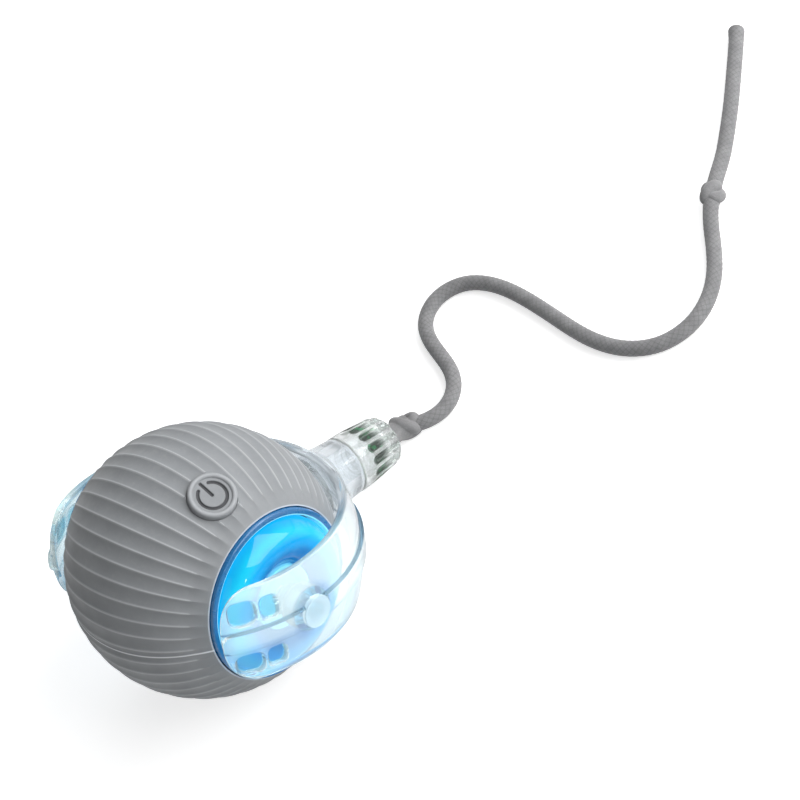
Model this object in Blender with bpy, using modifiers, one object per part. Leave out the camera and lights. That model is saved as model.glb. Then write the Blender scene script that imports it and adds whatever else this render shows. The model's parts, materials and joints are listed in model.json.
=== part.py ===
"""Self rolling cat ball with a clear yoke and a rope tail, for Blender 4.5.

Metres, +Z up. The origin is the point where the ball touches the floor. The axle runs along X,
the yoke and its tail trail towards +Y. The yoke droops until its cap rests on the floor.
"""
import math

import bmesh
import bpy
from mathutils import Matrix, Vector

# Ball: a rigid shell in two halves under a fluted silicone skin in two halves
BALL_RADIUS = 0.0215
SKIN_WALL = 0.0015
SKIN_SHELL_GAP = 0.0003
SHELL_WALL = 0.0016
SEAM_GAP = 0.0003
FLUTE_COUNT = 48
FLUTE_DEPTH = 0.00042
FLUTE_FADE = 0.0045
SKIN_INNER = BALL_RADIUS - SKIN_WALL
SHELL_OUTER = SKIN_INNER - SKIN_SHELL_GAP
SHELL_INNER = SHELL_OUTER - SHELL_WALL

# Window at each pole: bezel ring, ring-shaped lens, hub with the bearing hole
CLEARANCE = 0.0003
WINDOW_RADIUS = 0.0137
WINDOW_SEAT_DEPTH = 0.0078
WINDOW_SEAT_X = BALL_RADIUS - WINDOW_SEAT_DEPTH
WINDOW_LEDGE = 0.0015
SHELL_WINDOW_RADIUS = WINDOW_RADIUS - WINDOW_LEDGE
BEZEL_WIDTH = 0.0009
BEZEL_HEIGHT = 0.0033
BEZEL_CHAMFER = 0.0003
BEZEL_FRONT_X = WINDOW_SEAT_X + BEZEL_HEIGHT
LENS_WALL = 0.0011
LENS_RIM_HEIGHT = 0.0029
LENS_CROWN_HEIGHT = 0.0029
LENS_DIP = 0.0016
LENS_CREST_RADIUS = 0.0090
LENS_EDGE_X = WINDOW_SEAT_X + LENS_RIM_HEIGHT
LENS_CREST_X = LENS_EDGE_X + LENS_CROWN_HEIGHT
LENS_HUB_X = LENS_CREST_X - LENS_DIP
LENS_FRONT_SHARES = (0.0, 0.15, 0.40, 0.70, 1.0)
LENS_BACK_SHARES = (0.0, 0.40, 1.0)
LENS_CROWN_POWER_SHARE = 2.2
HUB_RADIUS = 0.0050
HUB_HEIGHT = 0.0045
HUB_BASE_X = WINDOW_SEAT_X
HUB_FACE_X = HUB_BASE_X + HUB_HEIGHT
HUB_FLOOR = 0.0012
HUB_DISH_RADIUS = 0.0034
HUB_DISH_DEPTH = 0.0006

# Power button on its own axis
BUTTON_TILT = math.radians(30.5)
BUTTON_ROLL = math.radians(3.1)
BUTTON_RADIUS = 0.0038
BUTTON_PROUD = 0.0008
BUTTON_CROWN = 0.0003
BUTTON_RIM_WIDTH = 0.0008
BUTTON_DISC_SHARES = ((0.6, 0.3), (0.93, 1.0), (1.0, 1.4), (1.07, 1.0))
BUTTON_RIM_SHARES = (0.9, 1.9)
BUTTON_TRAVEL = 0.0005
BUTTON_STEM_RADIUS = 0.0012
BUTTON_STEM_PLAY = 0.0001
SWITCH_BOARD_RADIUS = 0.0032
SWITCH_BOARD_THICKNESS = 0.0008
SWITCH_BOARD_DEPTH = 0.0033
SWITCH_BOARD_BACK = SHELL_INNER - SWITCH_BOARD_DEPTH
SWITCH_SIDE = 0.0030
SWITCH_HEIGHT = 0.0013
PLUNGER_RADIUS = 0.0009
PLUNGER_HEIGHT = 0.0005
SWITCH_BASE = SWITCH_BOARD_BACK + SWITCH_BOARD_THICKNESS + CLEARANCE
SWITCH_TOP = SWITCH_BASE + SWITCH_HEIGHT + PLUNGER_HEIGHT
BUTTON_STEM_END = SWITCH_TOP + BUTTON_TRAVEL + BUTTON_STEM_PLAY
PEG_RADIUS = 0.0006
PEG_PLACE = 0.0024

# Screws that join the shell halves, under the skin
SCREW_PLACE_SHARES = (0.442, 0.807)
BOSS_RADIUS = 0.0017
SCREW_SHANK_RADIUS = 0.0006
SCREW_HEAD_RADIUS = 0.0011
SCREW_HEAD_HEIGHT = 0.0008
SCREW_HEAD_Z = -0.0055
SCREW_TIP_Z = 0.0040
SCREW_HOLE_RADIUS = 0.0009
SCREW_HOLE_END = 0.0050

# Battery cell, motor and control board on the chassis
BATTERY_RADIUS = 0.0070
BATTERY_LENGTH = 0.0250
BATTERY_X = -0.0052
BATTERY_Z = -0.0020
BATTERY_NUB_RADIUS = 0.0020
BATTERY_NUB_LENGTH = 0.0006
MOTOR_RADIUS = 0.0035
MOTOR_LENGTH = 0.0115
MOTOR_FRONT_X = 0.0019
MOTOR_BOSS_RADIUS = 0.0014
MOTOR_BOSS_LENGTH = 0.0008
MOTOR_SHAFT_RADIUS = 0.0005
MOTOR_SLEEVE_WALL = 0.0008
MOTOR_SLEEVE_LENGTH = 0.0060
GEAR_PLATE_X = 0.0022
GEAR_PLATE_THICKNESS = 0.0010
GEAR_PLATE_GAP = 0.0009
GEAR_PLATE_RADIUS = SHELL_INNER - GEAR_PLATE_GAP
CRADLE_HALF_WIDTH = 0.0088
CRADLE_BACK_X = -0.0095
CRADLE_FLOOR = 0.0010
CRADLE_BOTTOM_Z = BATTERY_Z - BATTERY_RADIUS - CLEARANCE - CRADLE_FLOOR
BOARD_THICKNESS = 0.0010
BOARD_LENGTH = 0.0064
BOARD_WIDTH = 0.0180
BOARD_X = -0.0016
CHIP_SIDE = 0.0040
CHIP_HEIGHT = 0.0008
CHIP_Y = 0.0060

# Charging port in the lower half, opposite the button
PORT_TILT = math.radians(210.5)
PORT_WIDTH = 0.0088
PORT_HEIGHT = 0.0032
PORT_WALL = 0.0004
PORT_SINK = 0.0017
PORT_MOUTH = BALL_RADIUS - PORT_SINK
PORT_DEPTH = 0.0062
PORT_TONGUE_THICKNESS = 0.0007
PORT_TONGUE_LENGTH = 0.0045
PORT_TONGUE_WIDTH = 0.0062

# Gear train from the motor to the eccentric weight
GEAR_MODULE = 0.0005
PRESSURE_ANGLE = math.radians(25.0)
ADDENDUM_SHARE = 0.9
DEDENDUM_SHARE = 1.3
BACKLASH = 0.00010
PINION_TEETH = 9
COMPOUND_BIG_TEETH = 21
COMPOUND_SMALL_TEETH = 9
OUTPUT_TEETH = 27
FIRST_STAGE_X = 0.0035
FIRST_STAGE_WIDTH = 0.0010
SECOND_STAGE_X = 0.0048
SECOND_STAGE_WIDTH = 0.0011
LAYSHAFT_RADIUS = 0.0006
LAYSHAFT_BORE_RADIUS = 0.0009
MOTOR_Z = 0.0112
SHAFT_RADIUS = 0.0012
SHAFT_START_X = 0.0023
BORE_RADIUS = 0.0015
BUSH_RADIUS = 0.0021
BUSH_FLANGE_RADIUS = 0.0029
BUSH_FLANGE_THICKNESS = 0.0005
WEIGHT_RADIUS = 0.0104
WEIGHT_X = 0.0062
WEIGHT_WIDTH = 0.0050
WEIGHT_HUB_RADIUS = 0.0029
WEIGHT_SWING = math.radians(0.0)
END_PLATE_X = WEIGHT_X + WEIGHT_WIDTH + CLEARANCE
END_PLATE_THICKNESS = 0.0008
END_PLATE_RADIUS = 0.0126
SHAFT_END_ROOM = 0.0002
SHAFT_END_X = END_PLATE_X + END_PLATE_THICKNESS - SHAFT_END_ROOM
POST_RADIUS = 0.0008
POST_PLACE = 0.0116
POST_ANGLES = (math.radians(125.0), math.radians(215.0), math.radians(325.0))

# Light board behind each lens
LED_BOARD_THICKNESS = 0.0008
LED_BOARD_X = WINDOW_SEAT_X - CLEARANCE - LED_BOARD_THICKNESS
LED_COUNT = 6
LED_SIDE = 0.0015
LED_HEIGHT = 0.0006
LED_PLACE = 0.0088

# Yoke: a spherical band with a paddle over each window and a socket tube at the back
BAND_GAP = 0.0019
BAND_INNER = BALL_RADIUS + BAND_GAP
BAND_WALL = 0.0015
BAND_HALF_WIDTH = 0.0079
BAND_TIP_ANGLE = math.radians(36.5)
BAND_TIP_ROUND = math.radians(17.0)
BAND_TIP_POWER_SHARE = 2.6
BAND_TIP_WALL_SHARE = 0.62
BAND_CHAMFER = 0.0004
SPINE_HALF_WIDTH = 0.0016
SPINE_HEIGHT = 0.00055
SPINE_FOOT = 0.0004
PIN_RADIUS = 0.0016
PIN_REACH = 0.0030
PIN_TIP_X = HUB_FACE_X - PIN_REACH
PIN_TAPER = 0.0004
PIN_HEAD_RADIUS = 0.0026
PIN_HEAD_THICKNESS = 0.0008
PIVOT_BOSS_RADIUS = 0.0034
PIVOT_STEP_RADIUS = 0.0026
PIVOT_STEP_LENGTH = 0.0020
PIVOT_PLAY = 0.0005
PIVOT_STEP_X = HUB_FACE_X + PIVOT_PLAY
PIVOT_BOSS_X = PIVOT_STEP_X + PIVOT_STEP_LENGTH
POCKET_DEPTH = 0.0006
POCKET_SHARES = ((0.848, 0.570, 0.291, 0.240), (0.539, 0.544, 0.177, 0.228))
SOCKET_FLARE_RADIUS = 0.0059
SOCKET_BASE_RADIUS = 0.0053
SOCKET_RADIUS = 0.0050
SOCKET_FLARE_LENGTH = 0.0020
SOCKET_LENGTH = 0.0064
SOCKET_END = BAND_INNER + BAND_WALL + SOCKET_LENGTH
NECK_RADIUS = 0.0036
NECK_LENGTH = 0.0040
THREAD_HEIGHT = 0.00025
THREAD_PITCH = 0.0012
SOCKET_BORE_RADIUS = 0.0026
THREAD_START_SHARE = 0.75
SOCKET_BORE_SINK = 0.0038
SOCKET_BORE_START = SOCKET_END - SOCKET_BORE_SINK

# Screw cap and the rope tail
CAP_RADIUS = 0.0050
CAP_END_RADIUS = 0.0044
CAP_COLLAR_LENGTH = 0.0022
CAP_LENGTH = 0.0094
CAP_START = SOCKET_END + CLEARANCE
CAP_END = CAP_START + CAP_LENGTH
CAP_ROUND = 0.0010
CAP_ROUND_STEPS = 2
CAP_END_WALL = 0.0014
CAP_FLUTES = 14
CAP_FLUTE_RADIUS = 0.00075
CAP_FLUTE_DEPTH = 0.00045
CAP_FLUTE_ARCH_SHARE = 0.7
CAP_HOLE_RADIUS = 0.0017
ROPE_DIAMETER = 0.0026
ROPE_PITCH = 0.0045
ANCHOR_RADIUS = 0.0030
ANCHOR_LENGTH = 0.0030
KNOT_RADIUS = 0.0023
KNOT_LENGTH = 0.0044
KNOT_RISE_LENGTH = 0.0110
KNOT_BULGE_SHARE = 0.07
KNOT_TWIST_SHARE = 2.2
TAIL_ROUTE = (
    (-0.0056, 0.0042), (0.0016, 0.0031), (0.0062, 0.0089), (0.0031, 0.0160), (-0.0045, 0.0190),
    (-0.0103, 0.0224), (-0.0118, 0.0282), (-0.0085, 0.0329), (-0.0029, 0.0342), (0.0025, 0.0339),
    (0.0080, 0.0329), (0.0130, 0.0318), (0.0182, 0.0306), (0.0237, 0.0299), (0.0292, 0.0304),
    (0.0343, 0.0329), (0.0372, 0.0379), (0.0371, 0.0436), (0.0349, 0.0487), (0.0317, 0.0530),
    (0.0284, 0.0571), (0.0258, 0.0618), (0.0237, 0.0670), (0.0215, 0.0718), (0.0192, 0.0765),
    (0.0167, 0.0813), (0.0140, 0.0860), (0.0114, 0.0906), (0.0086, 0.0953), (0.0054, 0.1001),
)
SECOND_KNOT_SPAN = 20
CORD_STEPS = 12

# Rest pose: the rim of the cap touches the floor, and the ball has rolled on from its seam
YOKE_TO_SEAM = math.radians(10.3)
CAP_FLOOR_GAP = 0.00005
CAP_RIM_PLACE = (CAP_END - CAP_ROUND, CAP_END_RADIUS - CAP_ROUND)
YOKE_DROOP = (math.asin((BALL_RADIUS - CAP_FLOOR_GAP - CAP_ROUND) / math.hypot(*CAP_RIM_PLACE))
              - math.atan(CAP_RIM_PLACE[1] / CAP_RIM_PLACE[0]))
BALL_ROLL = YOKE_DROOP - YOKE_TO_SEAM

OVERRUN = 0.0020
MERGE = 0.00001
ROUND_SEGMENTS = 24
SOCKET_SEGMENTS = 20
MIDDLE_SEGMENTS = 16
SMALL_SEGMENTS = 8
SPHERE_COLUMNS = 24
SPHERE_ROWS = 12
SKIN_ROWS = 10
BAND_COLUMNS = 28
BAND_ROWS = 4
FLUTE_SEGMENTS = 6
KNOT_COLUMNS = 12
KNOT_ROWS = 7
SPINE_ROWS = BAND_ROWS // 2

PLASTIC_GREY = (0.27, 0.28, 0.29)
SKIN_GREY = (0.24, 0.25, 0.27)
NAVY = (0.01, 0.05, 0.20)
LIGHT_BLUE = (0.05, 0.42, 0.85)
CLEAR = (0.85, 0.93, 0.97)
BOARD_GREEN = (0.03, 0.20, 0.08)
STEEL = (0.60, 0.60, 0.62)
BRASS = (0.60, 0.45, 0.18)
CELL_BLUE = (0.05, 0.12, 0.30)
GEAR_WHITE = (0.80, 0.80, 0.76)
DARK = (0.03, 0.03, 0.035)
ROPE_GREY = (0.13, 0.13, 0.135)
KNOT_GREEN = (0.06, 0.09, 0.07)


def start_scene():
    for old in list(bpy.data.objects):
        bpy.data.objects.remove(old)
    groups = []
    for name in ("cat_ball", "cutters"):
        group = bpy.data.collections.new(name)
        bpy.context.scene.collection.children.link(group)
        groups.append(group)
    return groups


PARTS, CUTTERS = start_scene()


def make_material(name, color, roughness, metallic=0.0):
    material = bpy.data.materials.new(name)
    material.use_nodes = True
    shader = material.node_tree.nodes["Principled BSDF"]
    shader.inputs["Base Color"].default_value = (*color, 1.0)
    shader.inputs["Roughness"].default_value = roughness
    shader.inputs["Metallic"].default_value = metallic
    material.diffuse_color = (*color, 1.0)
    return material


MATERIALS = {
    "skin": make_material("skin", SKIN_GREY, 0.75),
    "shell": make_material("shell", PLASTIC_GREY, 0.5),
    "bezel": make_material("bezel", NAVY, 0.25),
    "lens": make_material("lens", LIGHT_BLUE, 0.1),
    "clear": make_material("clear", CLEAR, 0.05),
    "board": make_material("board", BOARD_GREEN, 0.5),
    "steel": make_material("steel", STEEL, 0.3, 1.0),
    "brass": make_material("brass", BRASS, 0.35, 1.0),
    "cell": make_material("cell", CELL_BLUE, 0.4),
    "gear": make_material("gear", GEAR_WHITE, 0.45),
    "dark": make_material("dark", DARK, 0.5),
    "rope": make_material("rope", ROPE_GREY, 0.9),
    "inner_knot": make_material("inner_knot", KNOT_GREEN, 0.9),
}


def make_frame(name, parent, matrix):
    """An empty that carries pieces in its own frame."""
    frame = bpy.data.objects.new(name, None)
    PARTS.objects.link(frame)
    frame.parent = parent
    frame.matrix_local = matrix
    return frame


CENTRE = Matrix.Translation((0.0, 0.0, BALL_RADIUS))
BALL = make_frame("ball_frame", None, CENTRE @ Matrix.Rotation(-BALL_ROLL, 4, "X"))
YOKE = make_frame("yoke_frame", None, CENTRE @ Matrix.Rotation(-YOKE_DROOP, 4, "X"))
BUTTON = make_frame("button_frame", BALL,
                    Matrix.Rotation(BUTTON_ROLL, 4, "X") @ Matrix.Rotation(BUTTON_TILT, 4, "Y"))
PORT = make_frame("port_frame", BALL, Matrix.Rotation(PORT_TILT, 4, "Y"))
ALONG_X = Matrix.Rotation(math.radians(90.0), 4, "Y")
ALONG_MINUS_X = Matrix.Rotation(math.radians(-90.0), 4, "Y")
ALONG_Y = Matrix.Rotation(math.radians(-90.0), 4, "X")
SIDES = (("right", ALONG_X), ("left", ALONG_MINUS_X))


def add_object(name, data, parent, matrix, material=None):
    """A piece when it has a material, and a hidden cutter when it has none."""
    obj = bpy.data.objects.new(name, data)
    obj.parent = parent
    obj.matrix_local = matrix
    if material is None:
        CUTTERS.objects.link(obj)
        obj.hide_render = True
        obj.display_type = "WIRE"
        return obj
    PARTS.objects.link(obj)
    data.materials.append(MATERIALS[material])
    return obj


def mesh_from(name, build):
    """A mesh from a function that fills a bmesh."""
    bm = bmesh.new()
    build(bm)
    bmesh.ops.recalc_face_normals(bm, faces=bm.faces)
    mesh = bpy.data.meshes.new(name)
    bm.to_mesh(mesh)
    bm.free()
    mesh.shade_smooth()
    mesh.set_sharp_from_angle(angle=math.radians(35.0))
    return mesh


def turned(name, profile, parent, matrix, material=None, segments=ROUND_SEGMENTS, closed=False):
    """A profile of (radius, height) points turned about the frame's Z axis.

    The profile runs down the outer side. A closed one makes a ring.
    """
    mesh = bpy.data.meshes.new(name)
    edges = [(i, i + 1) for i in range(len(profile) - 1)]
    if closed:
        edges.append((len(profile) - 1, 0))
    mesh.from_pydata([(radius, 0.0, height) for radius, height in profile], edges, [])
    obj = add_object(name, mesh, parent, matrix, material)
    screw = obj.modifiers.new("turn", "SCREW")
    screw.steps = screw.render_steps = segments
    screw.use_merge_vertices = True
    screw.merge_threshold = MERGE
    return obj


def cylinder(name, radius, low, high, parent, matrix, material=None, segments=ROUND_SEGMENTS):
    """A round bar along the frame's Z axis, from low to high."""
    def build(bm):
        bmesh.ops.create_cone(bm, cap_ends=True, segments=segments, radius1=radius, radius2=radius,
                              depth=high - low,
                              matrix=Matrix.Translation((0.0, 0.0, (low + high) / 2)))
    return add_object(name, mesh_from(name, build), parent, matrix, material)


def box(name, low, high, parent, matrix, material=None, round_edges=0.0):
    """A block between two corners, with rounded edges if a radius is given."""
    low, high = Vector(low), Vector(high)

    def build(bm):
        bmesh.ops.create_cube(bm, size=1.0, matrix=Matrix.Translation((low + high) / 2)
                              @ Matrix.Diagonal((*(high - low), 1.0)))
    obj = add_object(name, mesh_from(name, build), parent, matrix, material)
    if round_edges:
        bevel = obj.modifiers.new("round", "BEVEL")
        bevel.width = round_edges
        bevel.segments = 2
        bevel.limit_method = "NONE"
    return obj


def sphere(name, radius, parent, matrix, material=None):
    """A ball with its poles on the frame's Z axis."""
    def build(bm):
        bmesh.ops.create_uvsphere(bm, u_segments=SPHERE_COLUMNS, v_segments=SPHERE_ROWS,
                                  radius=radius)
    return add_object(name, mesh_from(name, build), parent, matrix, material)


def boolean(obj, operation, *tools):
    for tool in tools:
        step = obj.modifiers.new(tool.name, "BOOLEAN")
        step.operation = operation
        step.object = tool
    return obj


def cut(obj, *tools):
    return boolean(obj, "DIFFERENCE", *tools)


def join(obj, *tools):
    return boolean(obj, "UNION", *tools)


# Shell and skin halves


def half_space(side):
    """A block that covers one half of the ball, and the seam's gap."""
    reach = BALL_RADIUS + OVERRUN
    edge = SEAM_GAP / 2
    low, high = (-edge, reach) if side == "upper" else (-reach, edge)
    return box(f"cut_{side}_half", (-reach, -reach, low), (reach, reach, high), BALL, Matrix())


def screw_places():
    """The screws' axes, two on each side of the axle."""
    along, across = (share * SHELL_INNER for share in SCREW_PLACE_SHARES)
    return [(x * along, y * across) for x in (1, -1) for y in (1, -1)]


def window_cutters():
    tools = []
    for side, matrix in SIDES:
        tools.append(cylinder(f"cut_window_{side}", WINDOW_RADIUS, WINDOW_SEAT_X,
                              BALL_RADIUS + OVERRUN, BALL, matrix))
    return tools


def skin_mesh(bm):
    """A ball whose meridian flutes run from window to window and fade out there."""
    bmesh.ops.create_uvsphere(bm, u_segments=2 * FLUTE_COUNT, v_segments=SKIN_ROWS,
                              radius=BALL_RADIUS)
    window_height = math.sqrt(BALL_RADIUS ** 2 - WINDOW_RADIUS ** 2)
    step = math.pi / FLUTE_COUNT
    for vert in bm.verts:
        column = round(math.atan2(vert.co.y, vert.co.x) / step)
        if column % 2 == 0:
            fade = min(1.0, max(0.0, (window_height - abs(vert.co.z)) / FLUTE_FADE))
            vert.co -= vert.co.normalized() * FLUTE_DEPTH * fade


def make_skins(upper_half, lower_half, windows):
    hollow = sphere("cut_skin_hollow", SKIN_INNER, BALL, ALONG_X)
    button_hole = cylinder("cut_button_hole", BUTTON_RADIUS + CLEARANCE, SHELL_INNER,
                           BALL_RADIUS + OVERRUN, BUTTON, Matrix(), segments=MIDDLE_SEGMENTS)
    port_hole = port_cutter("cut_skin_port", SHELL_INNER)
    for name, away, hole in (("skin_upper", lower_half, button_hole),
                             ("skin_lower", upper_half, port_hole)):
        skin = add_object(name, mesh_from(name, skin_mesh), BALL, ALONG_X, "skin")
        cut(skin, away, hollow, *windows, hole)


def port_cutter(name, low):
    half_width = PORT_WIDTH / 2 + CLEARANCE
    half_height = PORT_HEIGHT / 2 + CLEARANCE
    return box(name, (-half_height, -half_width, low), (half_height, half_width, BALL_RADIUS + OVERRUN),
               PORT, Matrix())


def make_shells(upper_half, lower_half, windows):
    """Rigid halves: the hollow keeps the screw bosses and the switch pegs standing."""
    through = []
    for side, matrix in SIDES:
        through.append(cylinder(f"cut_shell_window_{side}", SHELL_WINDOW_RADIUS,
                                WINDOW_SEAT_X - OVERRUN, WINDOW_SEAT_X + OVERRUN, BALL, matrix))
    hollow = sphere("cut_shell_hollow", SHELL_INNER, BALL, ALONG_X)
    for number, (x, y) in enumerate(screw_places(), 1):
        cut(hollow, cylinder(f"keep_boss_{number}", BOSS_RADIUS, -BALL_RADIUS, BALL_RADIUS, BALL,
                             Matrix.Translation((x, y, 0.0)), segments=SMALL_SEGMENTS))
    for sign in (1, -1):
        cut(hollow, cylinder(f"keep_peg_{sign}", PEG_RADIUS, SWITCH_BASE, BALL_RADIUS, BUTTON,
                             Matrix.Translation((0.0, sign * PEG_PLACE, 0.0)), segments=SMALL_SEGMENTS))
    holes = []
    for number, (x, y) in enumerate(screw_places(), 1):
        place = Matrix.Translation((x, y, 0.0))
        holes.append(cylinder(f"cut_screw_hole_{number}", SCREW_HOLE_RADIUS, -BALL_RADIUS,
                              SCREW_HOLE_END, BALL, place, segments=SMALL_SEGMENTS))
        holes.append(cylinder(f"cut_screw_head_{number}", SCREW_HEAD_RADIUS + CLEARANCE, -BALL_RADIUS,
                              SCREW_HEAD_Z + CLEARANCE, BALL, place, segments=SMALL_SEGMENTS))
    stem_hole = cylinder("cut_stem_hole", BUTTON_STEM_RADIUS + CLEARANCE, SWITCH_BOARD_BACK,
                         BALL_RADIUS, BUTTON, Matrix(), segments=SMALL_SEGMENTS)
    port_hole = port_cutter("cut_shell_port", SHELL_INNER - OVERRUN)
    for name, away, extra in (("shell_upper", lower_half, stem_hole),
                              ("shell_lower", upper_half, port_hole)):
        shell = sphere(name, SHELL_OUTER, BALL, ALONG_X, "shell")
        cut(shell, away, hollow, *windows, *through, *holes, extra)


def make_screws():
    for number, (x, y) in enumerate(screw_places(), 1):
        profile = ((0.0, SCREW_TIP_Z), (SCREW_SHANK_RADIUS / 2, SCREW_TIP_Z),
                   (SCREW_SHANK_RADIUS, SCREW_TIP_Z - SCREW_SHANK_RADIUS),
                   (SCREW_SHANK_RADIUS, SCREW_HEAD_Z), (SCREW_HEAD_RADIUS, SCREW_HEAD_Z),
                   (SCREW_HEAD_RADIUS, SCREW_HEAD_Z - SCREW_HEAD_HEIGHT),
                   (0.0, SCREW_HEAD_Z - SCREW_HEAD_HEIGHT))
        turned(f"shell_screw_{number}", profile, BALL, Matrix.Translation((x, y, 0.0)), "steel",
               segments=SMALL_SEGMENTS)


# Windows


def lens_outline(inset, shares):
    """Half of the doughnut's section from its outer edge to the hub, drawn in by a wall."""
    outer = WINDOW_RADIUS - CLEARANCE - BEZEL_WIDTH - CLEARANCE - inset
    inner = HUB_RADIUS + CLEARANCE + inset
    points = []
    for share in shares:
        radius = outer + (inner - outer) * share
        if radius > LENS_CREST_RADIUS:
            across = (radius - LENS_CREST_RADIUS) / (outer - LENS_CREST_RADIUS)
            drop = LENS_CREST_X - LENS_EDGE_X
        else:
            across = (LENS_CREST_RADIUS - radius) / (LENS_CREST_RADIUS - inner)
            drop = LENS_CREST_X - LENS_HUB_X
        points.append((radius, LENS_CREST_X - inset - drop * across ** LENS_CROWN_POWER_SHARE))
    return points


def make_windows():
    base = WINDOW_SEAT_X + CLEARANCE
    outer = WINDOW_RADIUS - CLEARANCE
    inner = outer - BEZEL_WIDTH
    bezel = ((inner, BEZEL_FRONT_X), (outer - BEZEL_CHAMFER, BEZEL_FRONT_X),
             (outer, BEZEL_FRONT_X - BEZEL_CHAMFER), (outer, base), (inner, base))
    front = lens_outline(0.0, LENS_FRONT_SHARES)
    back = lens_outline(LENS_WALL, LENS_BACK_SHARES)
    lens_base = base + CLEARANCE
    lens = (list(reversed(front)) + [(front[0][0], lens_base), (back[0][0], lens_base)] + back
            + [(back[-1][0], lens_base), (front[-1][0], lens_base)])
    pin_hole = PIN_RADIUS + CLEARANCE
    dish = HUB_FACE_X - HUB_DISH_DEPTH
    hub = ((0.0, HUB_BASE_X + HUB_FLOOR), (pin_hole, HUB_BASE_X + HUB_FLOOR), (pin_hole, dish),
           (HUB_DISH_RADIUS, dish), (HUB_DISH_RADIUS + HUB_DISH_DEPTH, HUB_FACE_X),
           (HUB_RADIUS, HUB_FACE_X), (HUB_RADIUS, HUB_BASE_X), (0.0, HUB_BASE_X))
    for side, matrix in SIDES:
        turned(f"bezel_ring_{side}", bezel, BALL, matrix, "bezel", closed=True)
        turned(f"window_lens_{side}", lens, BALL, matrix, "lens", closed=True)
        turned(f"hub_cup_{side}", hub, BALL, matrix, "clear", segments=MIDDLE_SEGMENTS)
        board = cylinder(f"light_board_{side}", SHELL_WINDOW_RADIUS - CLEARANCE, LED_BOARD_X,
                         LED_BOARD_X + LED_BOARD_THICKNESS, BALL, matrix, "board")
        for number in range(LED_COUNT):
            half = LED_SIDE / 2
            place = (matrix @ Matrix.Rotation(2 * math.pi * number / LED_COUNT, 4, "Z")
                     @ Matrix.Translation((LED_PLACE, 0.0, 0.0)))
            top = LED_BOARD_X + LED_BOARD_THICKNESS + LED_HEIGHT
            join(board, box(f"join_led_{side}_{number}", (-half, -half, LED_BOARD_X + LED_HEIGHT),
                            (half, half, top), BALL, place))


# Button and switch


def make_button():
    top = BALL_RADIUS + BUTTON_PROUD
    under = SHELL_OUTER + BUTTON_TRAVEL + CLEARANCE
    groove = BUTTON_RADIUS - BUTTON_RIM_WIDTH
    rim_drop, edge_drop = (share * BUTTON_CROWN for share in BUTTON_RIM_SHARES)
    profile = [(0.0, top)]
    profile += [(groove * across, top - BUTTON_CROWN * down) for across, down in BUTTON_DISC_SHARES]
    profile += [(BUTTON_RADIUS - BUTTON_CROWN, top - rim_drop), (BUTTON_RADIUS, top - edge_drop),
                (BUTTON_RADIUS, under), (BUTTON_STEM_RADIUS, under),
                (BUTTON_STEM_RADIUS, BUTTON_STEM_END), (0.0, BUTTON_STEM_END)]
    turned("power_button", profile, BUTTON, Matrix(), "skin", segments=MIDDLE_SEGMENTS)
    board_top = SWITCH_BOARD_BACK + SWITCH_BOARD_THICKNESS
    cylinder("switch_board", SWITCH_BOARD_RADIUS, SWITCH_BOARD_BACK, board_top, BUTTON, Matrix(),
             "board", segments=MIDDLE_SEGMENTS)
    half = SWITCH_SIDE / 2
    low = SWITCH_BASE
    switch = box("tact_switch", (-half, -half, low), (half, half, low + SWITCH_HEIGHT), BUTTON,
                 Matrix(), "dark")
    join(switch, cylinder("join_plunger", PLUNGER_RADIUS, low + PLUNGER_HEIGHT,
                          low + SWITCH_HEIGHT + PLUNGER_HEIGHT, BUTTON, Matrix(), segments=SMALL_SEGMENTS))


# Gears


def involute_point(base, angle, side, centre_angle):
    """A point on a tooth's flank, where angle is how far the involute has unrolled."""
    radius = base * math.sqrt(1 + angle * angle)
    turn = centre_angle + side * (angle - math.atan(angle))
    return radius * math.cos(turn), radius * math.sin(turn)


def gear_outline(teeth, phase):
    """The outline of a spur gear, with one tooth's middle at the phase angle."""
    pitch = teeth * GEAR_MODULE / 2
    base = pitch * math.cos(PRESSURE_ANGLE)
    tip = pitch + ADDENDUM_SHARE * GEAR_MODULE
    root = pitch - DEDENDUM_SHARE * GEAR_MODULE
    half_tooth = (math.pi * GEAR_MODULE / 2 - BACKLASH) / 2 / pitch
    flank = math.tan(PRESSURE_ANGLE) - PRESSURE_ANGLE + half_tooth
    unrolled_tip = math.sqrt((tip / base) ** 2 - 1)
    points = []
    for number in range(teeth):
        middle = phase + 2 * math.pi * number / teeth
        points.append((root * math.cos(middle - flank), root * math.sin(middle - flank)))
        points.append(involute_point(base, unrolled_tip, 1, middle - flank))
        points.append(involute_point(base, unrolled_tip, -1, middle + flank))
        points.append((root * math.cos(middle + flank), root * math.sin(middle + flank)))
    return points


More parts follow.
